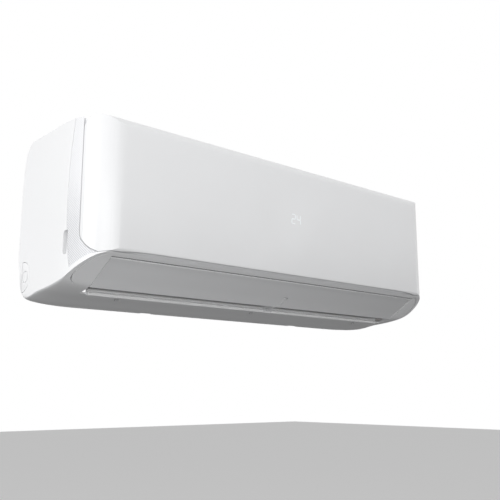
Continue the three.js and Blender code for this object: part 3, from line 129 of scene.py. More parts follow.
def new_mesh(name, points, faces):
    mesh = bpy.data.meshes.new(name)
    mesh.from_pydata(place(points), [], faces)
    obj = bpy.data.objects.new(name, mesh)
    scene.collection.objects.link(obj)
    return obj


AXES = {"x": (1, 2, 0), "y": (0, 2, 1), "z": (0, 1, 2)}  # the drawing's two axes, then the pull's


def prism(name, axis, outline, start, end):
    first, second, along = AXES[axis]
    points = np.zeros((len(outline), 3))
    points[:, first] = [p[0] for p in outline]
    points[:, second] = [p[1] for p in outline]
    points[:, along] = start
    obj = new_mesh(name, points, [list(range(len(outline)))])
    move = [0, 0, 0]
    move[along] = (end - start) * MM
    pull = {"value": tuple(move)}
    in_edit(obj, lambda: bpy.ops.mesh.extrude_region_move(TRANSFORM_OT_translate=pull))
    faces_out(obj)
    return obj


def block(name, x, y, z):
    return prism(name, "x", [(y[0], z[0]), (y[1], z[0]), (y[1], z[1]), (y[0], z[1])], *x)


def arc(centre, radius, angles):
    """Points of a circle at these angles."""
    return [(centre[0] + radius * math.cos(a), centre[1] + radius * math.sin(a)) for a in angles]


def combine(target, operation, *tools):
    for tool in tools:
        modify(target, "BOOLEAN", operation=operation, solver="MANIFOLD", object=tool)
        bpy.data.objects.remove(tool)
    return target


def twin(obj, name):
    only(obj)
    bpy.ops.object.duplicate()
    copy = bpy.context.active_object
    copy.name = name
    return copy


print("outlines ready")

# %% [markdown]
# ## The outer form
# One form carries the panel, the side walls and the underside. Its section changes from the side
# wall to the middle: the belly drops and the lower rear edge turns in. Both sections are drawn by
# a few points and a smooth line through them, and a loft joins the sections along the unit.

# %% Sections of the form
HALF = 425
HEIGHT = 270
DEPTH = 241
TOP_RADIUS = 20
CORNER_X, CORNER_Y, CORNER_POWER = 64, 90, 2.2
BELLY_REACH, BELLY_LOW = 100, -8.5
LEAD_IN, LEAD_OUT = (-60, HEIGHT), (-DEPTH, 110)  # they only steer the curve's two ends
SIDE = [(-29, 270), (-12, 257), (-5.6, 237), (-1.5, 209), (0, 168), (0, 77), (-2, 63), (-8.5, 40),
        (-16.5, 14), (-36, 0), (-81, 5.2), (-126, 9.8), (-160, 15.6), (-178, 22.3), (-196, 31.7),
        (-224, 45.8), (-236, 50.5), (-241, 60)]
MIDDLE = [(-29, 270), (-12, 257), (-5.6, 237), (-1.5, 209), (0, 168), (0, 77), (0, 50), (-3, 20),
          (-7, 0), (-15, -8.5), (-81, -3.6), (-126, 0), (-160, 7.4), (-178, 18.6), (-196, 29.8),
          (-224, 47), (-235, 53), (-241, 60)]


def smooth_line(points, steps=4):
    """A curve through all the points, each span cut into equal steps."""
    p = np.array([LEAD_IN, *points, LEAD_OUT], float)
    line = []
    for a, b, c, d in zip(p, p[1:], p[2:], p[3:]):
        spans = [max(np.linalg.norm(v - u), 1e-6) ** 0.5 for u, v in ((a, b), (b, c), (c, d))]
        t1, t2, t3 = np.cumsum(spans)
        for t in np.linspace(t1, t2, steps, endpoint=False):
            ab = a + (b - a) * t / t1
            bc = b + (c - b) * (t - t1) / (t2 - t1)
            cd = c + (d - c) * (t - t2) / (t3 - t2)
            abc = ab + (bc - ab) * t / t2
            bcd = bc + (cd - bc) * (t - t1) / (t3 - t1)
            line.append(abc + (bcd - abc) * (t - t1) / (t2 - t1))
    return np.array([*line, p[-2]])


def section(from_end):
    """The closed section at this distance from the unit's end."""
    out = min(from_end / BELLY_REACH, 1)
    share = math.sqrt(1 - (1 - out) ** 2)
    drawn = np.array(SIDE) * (1 - share) + np.array(MIDDLE) * share
    line = smooth_line(drawn)
    turn = np.linspace(math.pi, math.pi / 2, 13)
    top = arc((-DEPTH + TOP_RADIUS, HEIGHT - TOP_RADIUS), TOP_RADIUS, turn)
    line[:, 0] = np.minimum(line[:, 0], 0)
    line[:, 1] = np.clip(line[:, 1], BELLY_LOW, HEIGHT)
    return np.array([*line, *top])


def unit_long(rows):
    return rows / np.linalg.norm(rows, axis=1, keepdims=True)


def shrunk(line, distance):
    """The same section, drawn this much further in on every side."""
    before = unit_long(line - np.roll(line, 1, 0))
    after = unit_long(np.roll(line, -1, 0) - line)
    both = before + after
    normal = unit_long(np.stack([both[:, 1], -both[:, 0]], 1))
    reach = np.abs(normal[:, 0] * before[:, 1] - normal[:, 1] * before[:, 0])
    return line + normal * distance / np.maximum(reach, 0.4)[:, None]


print("points in a section:", len(section(0)))

# %% [markdown]
# The sections stand close together near the ends, where the form changes most. A loft joins each
# point of a section to the same point of the next one. Seen from above, the front corners are too
# round for sections alone, so a second solid, drawn in plan, trims the loft.

# %% The loft and its plan
PLAN_BACK, BEYOND = 30, 60
STATIONS = [0, 1, 2.5, 4.5, 7, 10, 14, 18, 23, 30, 38, 48, 58, 70, 84, 100, 180, 300]


def loft(name, rings):
    count = len(rings[0][1])
    points = [(x, y, z) for x, ring in rings for y, z in ring]
    faces = [list(range(count)), list(range((len(rings) - 1) * count, len(rings) * count))]
    for k in range(len(rings) - 1):
        for i in range(count):
            a, b = k * count + i, k * count + (i + 1) % count
            faces.append((a, b, b + count, a + count))
    made = new_mesh(name, points, faces)
    faces_out(made)
    return made


def plan(depth_in):
    angles = np.linspace(0, math.pi / 2, 29)
    power = 2 / CORNER_POWER
    xs = HALF - CORNER_X + (CORNER_X - depth_in) * np.abs(np.cos(angles)) ** power
    ys = -DEPTH + CORNER_Y - (CORNER_Y - depth_in) * np.sin(angles) ** power
    right = list(zip(xs, ys))
    left = [(-x, y) for x, y in reversed(right)]
    return [(HALF - depth_in, PLAN_BACK), *right, *left, (-HALF + depth_in, PLAN_BACK)]


def form(name, depth_in=0.0):
    """The unit's outer form, or the same form this much smaller all round."""
    ends = sorted({max(s, depth_in) for s in STATIONS})
    stations = [-HALF + s for s in ends] + [0] + [HALF - s for s in reversed(ends)]
    body = loft(name, [(x, shrunk(section(HALF - abs(x)), depth_in)) for x in stations])
    plan_solid = prism("plan", "z", plan(depth_in), -BEYOND, HEIGHT + BEYOND)
    return combine(body, "INTERSECT", plan_solid)


outer = form("outer_form")
print("outer form faces:", len(outer.data.polygons))

# %% [markdown]
# ## Zones seen from the side and the front
# A curved seam parts the side walls from the end strips. In front of it the casing lies back by
# 3.3 mm, and the panel and the strips fill that recess. The panel's own outline, seen from the
# front, has rounded corners and a foot that dips towards both ends. Both lines are drawn once, and
# every piece beside them is cut with the same drawing, so the gaps stay even.

# %% Seam and panel outline
RECESS = 3.3
SKIN = 2.5
PANEL_HALF = 416
PANEL_REAR = -185
PANEL_CORNER = 22
PANEL_FOOT, PANEL_FOOT_END = 57, 50
SEAM = ((-181, 31), (-156, 135), (-183, 290))
ZONE_CORNER = (-281, 290)
ZONE_FOOT = ((-281, 53), (-236, 53), (-217, 48.5))


def bezier(a, b, c, steps):
    t = np.linspace(0, 1, steps + 1)[:, None]
    a, b, c = (np.array(p, float) for p in (a, b, c))
    return [tuple(p) for p in (1 - t) ** 2 * a + 2 * t * (1 - t) * b + t * t * c]


def front_zone(shrink=0.0):
    """All that lies in front of the seam and above the recess's foot."""
    start, bend, end = ((y - shrink, z) for y, z in SEAM)
    seam = bezier((start[0], start[1] + shrink), bend, end, 24)
    foot = [ZONE_CORNER, *[(y, z + shrink) for y, z in ZONE_FOOT]]
    return prism("zone", "x", seam + foot, -HALF - 5, HALF + 5)


def panel_face(grow=0.0, square_top=False):
    """The panel's outline from the front, right half first, then its mirror image."""
    half, corner, top = PANEL_HALF + grow, PANEL_CORNER, HEIGHT + 2 + grow
    foot, foot_end = PANEL_FOOT - grow, PANEL_FOOT_END - grow
    points = bezier((half - 100, foot), (half - 60, foot - 0.5), (half - corner, foot_end), 8)
    points += bezier((half - corner, foot_end), (half, foot_end + 6),
                     (half, foot_end + corner + 14), 12)[1:]
    if square_top:
        points += [(half, top + 20)]
    else:
        points += bezier((half, top - corner), (half, top), (half - corner, top), 12)
    return points + [(-x, z) for x, z in reversed(points)]


print("panel outline points:", len(panel_face()))

# %% [markdown]
# ## Front panel
# The real panel is one thin glossy moulding. A flat sheet could be bent to it, but its ends turn
# in two directions at once, so it is cut from the form as a shell. A small bevel round its rim
# catches the light, as a moulded edge does. Two pins hold it at the top rear.

# %% Front panel
HINGE = (-187.5, 266.4)
HINGE_X = 360
PIN_RADIUS, PIN_HALF, BORE_RADIUS = 1.6, 9, 1.9
PANEL_BACK, SEAM_GAP = -178, 0.8
NOTCH_HALF, NOTCH_Y, NOTCH_Z = 6, (-196, PANEL_REAR + 1), (258, 271)


def disc(centre, radius, sides):
    return arc(centre, radius, (np.arange(sides) + 0.5) * 2 * math.pi / sides)


def shell(name, outside, inside):
    return combine(form(name, outside), "DIFFERENCE", form("inside", inside))


panel = shell("front_panel_shell", 0, SKIN)
reach = prism("reach", "y", panel_face(), -DEPTH - 20, PANEL_BACK)
combine(reach, "DIFFERENCE", block("behind", (-HALF, HALF), (PANEL_REAR, 0), (240, 300)))
combine(panel, "INTERSECT", combine(reach, "INTERSECT", front_zone(SEAM_GAP)))
for middle in (-HINGE_X, HINGE_X):
    notch_x = (middle - NOTCH_HALF, middle + NOTCH_HALF)
    combine(panel, "DIFFERENCE", block("notch", notch_x, NOTCH_Y, NOTCH_Z))
soften(panel, 0.7, 3, 55)
pin_face = disc(HINGE, PIN_RADIUS, 20)
for middle in (-HINGE_X, HINGE_X):
    combine(panel, "UNION", prism("pin", "x", pin_face, middle - PIN_HALF, middle + PIN_HALF))
smooth(panel)
print("front panel faces:", len(panel.data.polygons))

# %% [markdown]
# ## Casing
# The casing is the moulding that everything else hangs on. It is the form as a thin shell, with the
# recess for panel and strips, and every opening cut through it: the air outlet, the top grille, the
# filter windows, a finger slot and a pipe exit at each end, and a gutter that the rear edge of the
# panel dips into. The openings are cut as blocks, because the mould's own slides are blocks too.

# %% Casing shell and openings
OUTLET = 375
LIP_Y, LIP_TOP, LIP_HALF = -126, 12, 363
LOUVER_AXIS, LOUVER_BORE = (-171, 26), 3.3
SCREWS, SCREW_Y, SCREW_BORE = (-300, 0, 300), -116, 2.3
CATCHES = (-178, 208)
SLOT_DEEP, EXIT_DEEP = 16, 30
OPENINGS = {"outlet": ((-OUTLET, OUTLET), (-225.5, LIP_Y - SKIN), (-30, 62)),
            "top_window": ((-388, 388), (-172, -40), (262, 278)),
            "filter_window_left": ((-346, -44), (-246, -205), (88, 248)),
            "filter_window_right": ((44, 294), (-246, -205), (88, 248)),
            "gutter": ((-413, 413), (-191.5, -179.6), (263.4, 271)),
            "display": ((-31, 31), (-246, -236.1), (145.5, 179.5))}
REAR_LINE = [(40, -40), (40, 290), (-9, 290), (-9, 262), (-7, 14), (-7, -40)]


def quarter(centre, radius, start):
    return arc(centre, radius, np.radians(np.linspace(start, start + 90, 7)))


def slot_outline(grow=0.0):
    corner = 4
    low, high, rear, front = 53 - grow, 90 + grow, -163 + grow, -173.5
    top = quarter((rear - corner, high - corner), corner, 0)
    foot = quarter((rear - corner, low + corner), corner, 270)
    return [*top, (front, high), (front, low), *foot]


def exit_outline(grow=0.0):
    low, high, rear = 8, 60, -18
    radius, middle = (high - low) / 2, (high + low) / 2
    turn = np.radians(np.linspace(90, 270, 33))
    front = arc((-49 + radius, middle), radius + grow, turn)
    return [*front, (rear + grow, low - grow), (rear + grow, high + grow)]


def at_end(name, outline, side, depth, outside=5):
    """A prism through one end of the unit, as deep as asked."""
    return prism(name, "x", outline, *sorted((side * (HALF - depth), side * (HALF + outside))))


casing = combine(twin(outer, "casing_shell"), "DIFFERENCE", front_zone())
combine(casing, "UNION", form("recess", RECESS))
hollow = combine(form("hollow", SKIN), "DIFFERENCE", front_zone(-SKIN))
combine(hollow, "UNION", form("recess_hollow", RECESS + SKIN))
combine(casing, "DIFFERENCE", hollow,
        prism("rear", "x", REAR_LINE, -HALF + SKIN, HALF - SKIN),
        *[block(name, *box) for name, box in OPENINGS.items()])
for side in (-1, 1):
    combine(casing, "DIFFERENCE", at_end("slot", slot_outline(), side, SLOT_DEEP),
            at_end("exit", exit_outline(), side, EXIT_DEEP))
print("casing faces:", len(casing.data.polygons))

# %% [markdown]
# A finger goes into the slot in each side wall to pull the panel open. On the real unit the slot
# ends in a small pocket, so nobody touches what is behind it. Here the pocket is a thick block on
# the slot's own outline with a smaller one taken out of it, which leaves a wall of even thickness.

# %% Scoops behind the finger slots
SCOOP_DEEP, SCOOP_WALL = 13.5, 1.2


def scoop(name, side):
    wall = at_end(name, slot_outline(SCOOP_WALL), side, SCOOP_DEEP, outside=-SKIN)
    hollow = at_end("hollow", slot_outline(), side, SCOOP_DEEP - SCOOP_WALL)
    return combine(wall, "DIFFERENCE", hollow)


scoops = [scoop("grip_scoop_left", -1), scoop("grip_scoop_right", 1)]
for piece in scoops:
    soften(piece, 0.3, 2, 60)
    smooth(piece)
print("scoop faces:", len(scoops[0].data.polygons))

# %% [markdown]
# Some walls show only when the panel or the louver is open: the gutter under the panel's rear edge,
# the cheeks that hold the louver's pins, the lugs of the panel's hinge, and the lip behind the
# louver. Each is drawn from the side and pulled to its length. What would stick out of the form is
# trimmed away with a copy of the form itself.

# %% Walls inside the casing
U_TURN = [(-194, 260.9), (-177.1, 260.9), (-177.1, 269), (-179.6, 269), (-179.6, 263.4),
          (-191.5, 263.4), (-191.5, 266.2), (-194, 266.2)]
CHEEK = [(-224, 38), (-222, 62), (-150, 44), (-140, 8), (-150, -2), (-175, 10)]
CHEEK_THICK, LUG_HALF = 3, 3
trough = prism("trough", "x", U_TURN, -413, 413)
combine(casing, "UNION", combine(trough, "INTERSECT", twin(outer, "trim")))
for side in (-1, 1):
    wall = sorted((side * OUTLET, side * (OUTLET + CHEEK_THICK)))
    cheek = combine(prism("cheek", "x", CHEEK, *wall), "INTERSECT", form("trim", 1))
    low, high = side * HINGE_X - LUG_HALF, side * HINGE_X + LUG_HALF
    lug = block("lug", (low, high), (-191.5, -178.6), (262.4, 269.4))
    bore = prism("bore", "x", disc(HINGE, BORE_RADIUS, 20), low - 1, high + 1)
    combine(lug, "DIFFERENCE", bore)
    combine(casing, "UNION", cheek, lug)
lip = block("lip", (-LIP_HALF, LIP_HALF), (LIP_Y - SKIN, LIP_Y), (-0.5, LIP_TOP))
combine(casing, "UNION", lip)
combine(casing, "DIFFERENCE",
        prism("pins", "x", disc(LOUVER_AXIS, LOUVER_BORE, 24), -OUTLET - 11, OUTLET + 11),
        *[prism("screw_hole", "z", disc((x, SCREW_Y), SCREW_BORE, 20), -20, 20) for x in SCREWS])
print("casing faces:", len(casing.data.polygons))

# %% [markdown]
# ## End strips
# Each end strip is a separate moulding between the side wall and the panel. Its lower part has
# fine slanting ribs that fade out higher up. A bump map could fake them, but the light would miss
# their edges, so the ribs are real: a comb of thin slabs is cut by a layer that stands 0.3 mm proud
# of the strip. The slabs get thinner towards the top, and so the ribs fade.

# %% Strips and their ribs
RIB_PITCH = 2.8
RIB_SLOPE = math.radians(43)
RIB_ROWS = range(-17, 19)
RIB_HALF, RIB_MIDDLE = 0.75, (411, -207, 75)
SLAB_LONG, SLAB_DEEP = 90, 45
FADE_TOP, FADE_ROWS, FADE_LEAST = 30, 22, 0.12
STRIP_SKIN, RIB_LAYER = (0.6, 3.0), (0.3, 0.8)  # how far in from the form each begins and ends
FACING = (0.866, -0.5)  # the corner's outward direction at the right end, seen from above
STRIP_GAP, PANEL_GAP = 0.3, 0.9


def strip(name, side, outside, inside):
    made = shell(name, outside, inside)
    combine(made, "INTERSECT", front_zone(STRIP_GAP))
    end = sorted((side * (HALF + 1), side * (HALF - 60)))
    combine(made, "INTERSECT", block("end", end, (-DEPTH - 1, -150), (30, HEIGHT + 1)))
    return combine(made, "DIFFERENCE",
                   prism("panel_gap", "y", panel_face(PANEL_GAP, square_top=True), -DEPTH - 20, 0),
                   at_end("slot", slot_outline(), side, SLOT_DEEP))


def largest(obj):
    """Keeps the biggest loose piece: cutting leaves a sliver or two beside it."""
    only(obj)
    bpy.ops.mesh.separate(type="LOOSE")
    parts = sorted(bpy.context.selected_objects, key=lambda o: -len(o.data.vertices))
    for scrap in parts[1:]:
        bpy.data.objects.remove(scrap)
    return parts[0]


def comb(side):
    """Slanting slabs side by side, thinner towards the top."""
    along = np.array([side * FACING[1], -FACING[0], 0]) * math.cos(RIB_SLOPE)
    along[2] = -math.sin(RIB_SLOPE)
    surface = np.array([side * FACING[0], FACING[1], 0])
    foot = np.array([side * RIB_MIDDLE[0], *RIB_MIDDLE[1:]])
    across = np.cross(along, surface)
    across *= np.sign(across[2])
    points, faces = [], []
    corners = [(a, b, c) for a in (-1, 1) for b in (-1, 1) for c in (-1, 1)]
    box = [(0, 1, 3, 2), (4, 6, 7, 5), (0, 4, 5, 1), (2, 3, 7, 6), (0, 2, 6, 4), (1, 5, 7, 3)]
    for row in RIB_ROWS:
        middle = foot + across * row * RIB_PITCH
        half = RIB_HALF * np.clip((FADE_TOP - row) / FADE_ROWS, FADE_LEAST, 1)
        faces += [tuple(len(points) + i for i in quad) for quad in box]
        for a, b, c in corners:
            points.append(middle + along * SLAB_LONG * a + surface * SLAB_DEEP * b
                          + across * half * c)
    made = new_mesh("comb", points, faces)
    faces_out(made)
    return made


strips, ribs = [], []
for side, name in ((-1, "left"), (1, "right")):
    strips.append(largest(strip("side_strip_skin_" + name, side, *STRIP_SKIN)))
    ribs.append(combine(strip("strip_ribs_" + name, side, *RIB_LAYER), "INTERSECT", comb(side)))
for piece in strips + ribs:
    smooth(piece)
print("rib faces:", [len(r.data.polygons) for r in ribs])

# %% [markdown]
# ## Louver
# The louver is one curved blade. A bent sheet would do for it, but its real section also has an
# even thickness and round edges, so the section is drawn: a smooth line through a few points, given
# a thickness and a soft edge. The ears and the pins at its ends and centre hold it on its axis.

# %% Louver
BLADE = [(-222.5, 46.1), (-210, 39.3), (-196, 30.6), (-178, 19.6), (-166, 11.6), (-159, 6.9)]
EAR = [(-190, 28.5), (-187, 35), (-171, 32.5), (-165, 27), (-164, 13), (-172, 18)]
BLADE_HALF, BLADE_THICK = 374, 3
EAR_THICK = 3
KNUCKLE_X, KNUCKLE_HALF, KNUCKLE_FRONT = 31.5, 5, -184.5
PINS = [(-BLADE_HALF - 3.5, -BLADE_HALF + 1, 3), (BLADE_HALF - 1, BLADE_HALF + 8, 3),
        (KNUCKLE_X - 8, KNUCKLE_X + 8, 2.5)]


def through(points, steps=5):
    """The smooth line again, for an open row of points."""
    first, last = np.array(points[0]), np.array(points[-1])
    ends = [2 * first - points[1], *points, 2 * last - points[-2]]
    line = []
    for a, b, c, d in zip(ends, ends[1:], ends[2:], ends[3:]):
        a, b, c, d = (np.array(p, float) for p in (a, b, c, d))
        for t in np.linspace(0, 1, steps, endpoint=False):
            line.append(0.5 * (2 * b + (c - a) * t + (2 * a - 5 * b + 4 * c - d) * t * t
                               + (3 * b - a - 3 * c + d) * t ** 3))
    return np.array([*line, last])


def ribbon(line, thickness):
    """The outline of a band that runs along the line on one side."""
    run = unit_long(np.gradient(line, axis=0))
    back = line + np.stack([-run[:, 1], run[:, 0]], 1) * thickness
    return [*line, *back[::-1]]


louver = prism("louver_blade", "x", ribbon(through(BLADE), BLADE_THICK), -BLADE_HALF, BLADE_HALF)
soften(louver, 1.1, 4, 50)
knuckle = (KNUCKLE_X - KNUCKLE_HALF, KNUCKLE_X + KNUCKLE_HALF)
combine(louver, "DIFFERENCE", block("notch", knuckle, (KNUCKLE_FRONT, -150), (0, 60)))
for start in (-BLADE_HALF, BLADE_HALF - EAR_THICK, KNUCKLE_X - 9.5, KNUCKLE_X + 6.5):
    combine(louver, "UNION", prism("ear", "x", EAR, start, start + EAR_THICK))
for start, end, radius in PINS:
    combine(louver, "UNION", prism("pin", "x", disc(LOUVER_AXIS, radius, 24), start, end))
smooth(louver)
print("louver faces:", len(louver.data.polygons))

# %% [markdown]
# Near its centre the louver turns on a bracket, and the blade is cut away for it. A small cap on the
# bracket carries the blade's surface on over that gap. It is drawn from the rear part of the
# blade's own line, so the two look like one surface, and it stays still while the louver turns.

# %% Cap over the knuckle
CAP_FRONT, CAP_THICK, CAP_GAP = -183.6, BLADE_THICK - 0.6, 0.5
rear_part = np.array([p for p in through(BLADE, 9) if p[0] > CAP_FRONT])
cap = prism("knuckle_cap", "x", ribbon(rear_part, CAP_THICK), knuckle[0] + CAP_GAP,
            knuckle[1] - CAP_GAP)
soften(cap, 0.3, 2, 60)
smooth(cap)
print("cap faces:", len(cap.data.polygons))

# %% [markdown]
# ## Groove and catch marks
# Seen from below, a fine groove runs round each end of the louver's recess and dies out behind it.
# It is cut by a curved band, kept to a thin layer of the form's skin, so it has one depth
# everywhere although the underside is curved. Shallow marks show where the catches let go.

# %% Groove round the recess and catch marks
GROOVE_DEEP, GROOVE_WIDE = 2.7, 1.2
GROOVE_LINE = [(-366, -235), (-382, -229), (-394, -221), (-403, -211), (-409, -200), (-412.5, -188),
               (-413.5, -178), (-411, -169), (-404, -162)]
MARK_HALF, MARK_Y, MARK_Z = 13, (-24, -9), (-12, -7.2)
for side in (-1, 1):
    layer = shell("layer", -1, GROOVE_DEEP)
    line = np.array(through(GROOVE_LINE)) * (-side, 1)
    band = prism("band", "z", ribbon(line, GROOVE_WIDE), -30, 50)
    combine(casing, "DIFFERENCE", combine(layer, "INTERSECT", band))
for x in CATCHES:
    combine(casing, "DIFFERENCE", block("mark", (x - MARK_HALF, x + MARK_HALF), MARK_Y, MARK_Z))
smooth(casing)
print("casing faces:", len(casing.data.polygons))

# %% [markdown]
# ## Pipe exits
# The pipe exits at both ends are closed by a plate that breaks out along a thin line, so the plate
# is its own piece with a fine gap round it. A ring is scored in it for a drain hose. The ring is a
# disc less a smaller disc, cut in to a small depth.

# %% Pipe exits
DRAIN = (-31, 34)
EXIT_GAP = 0.9
RING_OUTER, RING_INNER, RING_DEEP = 10.2, 8.8, 1.6


def exit_plate(name, side):
    plate = at_end(name, exit_outline(-EXIT_GAP), side, SKIN, outside=0)
    soften(plate, 0.35, 2, 60)
    groove = at_end("groove", disc(DRAIN, RING_OUTER, 48), side, RING_DEEP, outside=2)
    core = at_end("core", disc(DRAIN, RING_INNER, 48), side, RING_DEEP + 1, outside=3)
    combine(plate, "DIFFERENCE", combine(groove, "DIFFERENCE", core))
    smooth(plate)
    return plate


exits = [exit_plate("exit_plate_left", -1), exit_plate("exit_plate_right", 1)]
print("exit plate faces:", [len(plate.data.polygons) for plate in exits])

# %% [markdown]
# ## Beads on the lip
# The lip behind the louver carries two round beads that stiffen it, one above the other, and they
# catch the light as pale lines, made paler still by a painted highlight in their white. At the
# louver's centre bracket they stop, and the lip is thinned on both sides of it. A bead is half an
# oval with its back sunk into the lip, so no gap can show.

# %% Beads and notches on the lip
LIP_FRONT = LIP_Y - SKIN
BEAD_HEIGHTS, BEAD_RUNS = (2.9, 8.7), ((-LIP_HALF + 1, 19), (44, LIP_HALF - 1))
BEAD_OUT, BEAD_HALF, BEAD_SUNK = 2.3, 2.8, 0.8
LIP_NOTCHES, NOTCH_LEFT = ((19.5, 26.8), (36.2, 43.5)), 0.8


def bead_outline(height):
    back = LIP_FRONT + BEAD_SUNK
    rounded = [(LIP_FRONT - BEAD_OUT * math.cos(a), height + BEAD_HALF * math.sin(a))
               for a in np.linspace(-math.pi / 2, math.pi / 2, 13)]
    return [(back, height - BEAD_HALF), *rounded, (back, height + BEAD_HALF)]


beads = []
for height in BEAD_HEIGHTS:
    for start, end in BEAD_RUNS:
        name = f"lip_bead_{len(beads) + 1}"
        beads.append(prism(name, "x", bead_outline(height), start, end))
for bead in beads:
    smooth(bead, 40)
for across in LIP_NOTCHES:
    combine(casing, "DIFFERENCE", block("notch", across, (-133, LIP_Y - NOTCH_LEFT), (1.5, 11)))
smooth(casing)
print("beads:", len(beads))

# %% [markdown]
# ## Lit digits
# The real display shines through the panel, so the digits have no edge of their own. A picture of
# them would blur from near by. Each digit is made of short bars instead, and a bar is a flat
# hexagon. The bars sit in shallow pockets, so they are flush with the panel's face.

# %% Digits
PANEL_FRONT = -DEPTH
DIGIT_WIDE, DIGIT_HIGH, BAR = 9, 17.5, 1.7
DIGIT_MIDDLE = 163
POCKET_DEEP, BAR_SUNK = 0.5, 0.02
BARS = {"top": (0, 1, 0), "middle": (0, 0, 0), "bottom": (0, -1, 0),
        "upper_left": (-1, 0.5, 1), "upper_right": (1, 0.5, 1),
        "lower_left": (-1, -0.5, 1), "lower_right": (1, -0.5, 1)}
DIGITS = {-3: ("top", "upper_right", "middle", "lower_left", "bottom"),
          10.5: ("upper_left", "upper_right", "middle", "lower_right")}


def bar(centre_x, name):
    across, up, upright = BARS[name]
    x, z = centre_x + across * DIGIT_WIDE / 2, DIGIT_MIDDLE + up * DIGIT_HIGH / 2
    long = (DIGIT_HIGH / 2 if upright else DIGIT_WIDE) / 2 - 0.25
    half, tip = BAR / 2, long - BAR / 2
    shape = [(-long, 0), (-tip, -half), (tip, -half), (long, 0), (tip, half), (-tip, half)]
    return [(x + v, z + u) if upright else (x + u, z + v) for u, v in shape]


def bars_of(name, front):
    """All the bars of both digits as one object, from the pocket's floor to this front."""
    made = [prism(name, "y", bar(x, part), PANEL_FRONT + POCKET_DEEP, PANEL_FRONT + front)
            for x, parts in DIGITS.items() for part in parts]
    only(made[0])
    for piece in made[1:]:
        piece.select_set(True)
    bpy.ops.object.join()
    return made[0]


combine(panel, "DIFFERENCE", bars_of("digit_pockets", -POCKET_DEEP))
smooth(panel)
digits = bars_of("lit_digits", BAR_SUNK)
print("digit bars:", sum(len(names) for names in DIGITS.values()))

# %% [markdown]
# ## Each piece takes its place
# A piece rides on the body that carries it and stands for the imported node it replaces, which is
# hidden. Trim that stands for no node of its own, such as the ribs, only rides along.

# %% Ride and replace
bpy.data.objects.remove(outer)


def stands_for(piece, node, body):
    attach(piece, body)
    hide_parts(node)


stands_for(panel, "front_panel", "front_panel")
stands_for(casing, "casing", "unit")
stands_for(louver, "louver", "louver")
for piece, rib, plate, end in zip(strips, ribs, exits, ("left", "right")):
    piece.name = "side_strip_skin_" + end
    stands_for(piece, "side_strip_" + end, "unit")
    stands_for(plate, "pipe_knockout_" + end, "unit")
    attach(rib, "unit")
for piece in scoops:
    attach(piece, "unit")
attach(cap, "unit")
for bead in beads:
    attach(bead, "unit")
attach(digits, "front_panel")
print("dressed pieces:", len(strips + ribs + exits + scoops + beads) + 5)

# %% [markdown]
# ## Finishes
# Shader nodes can be linked one by one, but maths reads best as maths. A small class holds one
# socket of a node tree, and sums and products of such sockets add their Math nodes. One method adds
# any other node. With it a finish is a line or two of sums.


# %% Shader maths
class Wire:
    def __init__(self, tree, socket=None):
        self.tree, self.socket = tree, socket

    def feed(self, value, socket):
        if isinstance(value, Wire):
            self.tree.links.new(value.socket, socket)
        else:
            socket.default_value = value

    def node(self, kind, settings, inputs, output=0):
        made = self.tree.nodes.new("ShaderNode" + kind)
        for name, value in settings.items():
            setattr(made, name, value)
        for key, value in inputs.items():
            self.feed(value, next(s for s in made.inputs if key in (s.identifier, s.name)))
        outputs = [s for s in made.outputs if s.enabled]
        return Wire(self.tree, outputs[output] if outputs else None)

    def maths(self, operation, first, second=0.0):
        made = self.tree.nodes.new("ShaderNodeMath")
        made.operation = operation
        self.feed(first, made.inputs[0])
        self.feed(second, made.inputs[1])
        return Wire(self.tree, made.outputs[0])

    def __add__(self, other):
        return self.maths("ADD", self, other)

    def __sub__(self, other):
        return self.maths("SUBTRACT", self, other)

    def __rsub__(self, other):
        return self.maths("SUBTRACT", other, self)

    def __mul__(self, other):
        return self.maths("MULTIPLY", self, other)

    def wave(self, pitch):
        """A sine wave with this length, between -1 and 1."""
        return self.maths("SINE", self * (2 * math.pi / pitch))

    def over(self, edge, soft):
        """0 below the edge, 1 above it, with a soft step between."""
        return self.node("MapRange", {"interpolation_type": "SMOOTHSTEP"},
                         {"Value": self, "From Min": edge - soft, "From Max": edge + soft})


OBJECT_COORDINATES = 3


def place_of(tree):
    """The place on the object, in metres, and its three parts."""
    spot = Wire(tree).node("TexCoord", {}, {}, output=OBJECT_COORDINATES)
    parts = Wire(tree).node("SeparateXYZ", {}, {"Vector": spot}).socket.node.outputs
    return spot, [Wire(tree, part) for part in parts]


def noise(spot, scale, detail=3.0, stretch=(1, 1, 1)):
    spot = spot.node("Mapping", {}, {"Vector": spot, "Scale": stretch})
    return spot.node("TexNoise", {}, {"Vector": spot, "Scale": scale, "Detail": detail})


def blend(share, first, second):
    """The first colour where the share is 0, the second where it is 1."""
    first, second = (c if isinstance(c, Wire) else (*c, 1) for c in (first, second))
    return share.node("Mix", {"data_type": "RGBA"},
                      {"Factor_Float": share, "A_Color": first, "B_Color": second})


def bump(height, strength, depth):
    return height.node("Bump", {}, {"Height": height, "Strength": strength, "Distance": depth})


def finish(name, **constants):
    """A new material, its tree, and a function that joins wires to the shader."""
    made = bpy.data.materials.new(name)
    made.use_nodes = True
    tree = made.node_tree
    shader = tree.nodes["Principled BSDF"]
    for key, value in constants.items():
        shader.inputs[key.replace("_", " ")].default_value = value

    def join(**wires):
        for key, wire in wires.items():
            tree.links.new(wire.socket, shader.inputs[key.replace("_", " ")])
        return made

    return tree, join


print("shader helpers ready")

# %% [markdown]
# ## Plastics
# Moulded white plastic isn't one flat colour. Its tone drifts a little over the length of the
# piece, and its skin has a fine orange-peel texture. One function makes them all, so that the
# whites belong together. Gloss pieces have a weak texture under a clear reflection, satin pieces a
# stronger one. The louver is the same white made darker, as painted shade. The beads behind it
# are a paler copy, as a painted highlight, and the screws under the lip are grey, painted shade
# that lets them merge with the shaded underside.


# %% Plastics
GRAIN_SCALE, GRAIN_DEPTH = 900, 0.0002
WEAR = 0.06


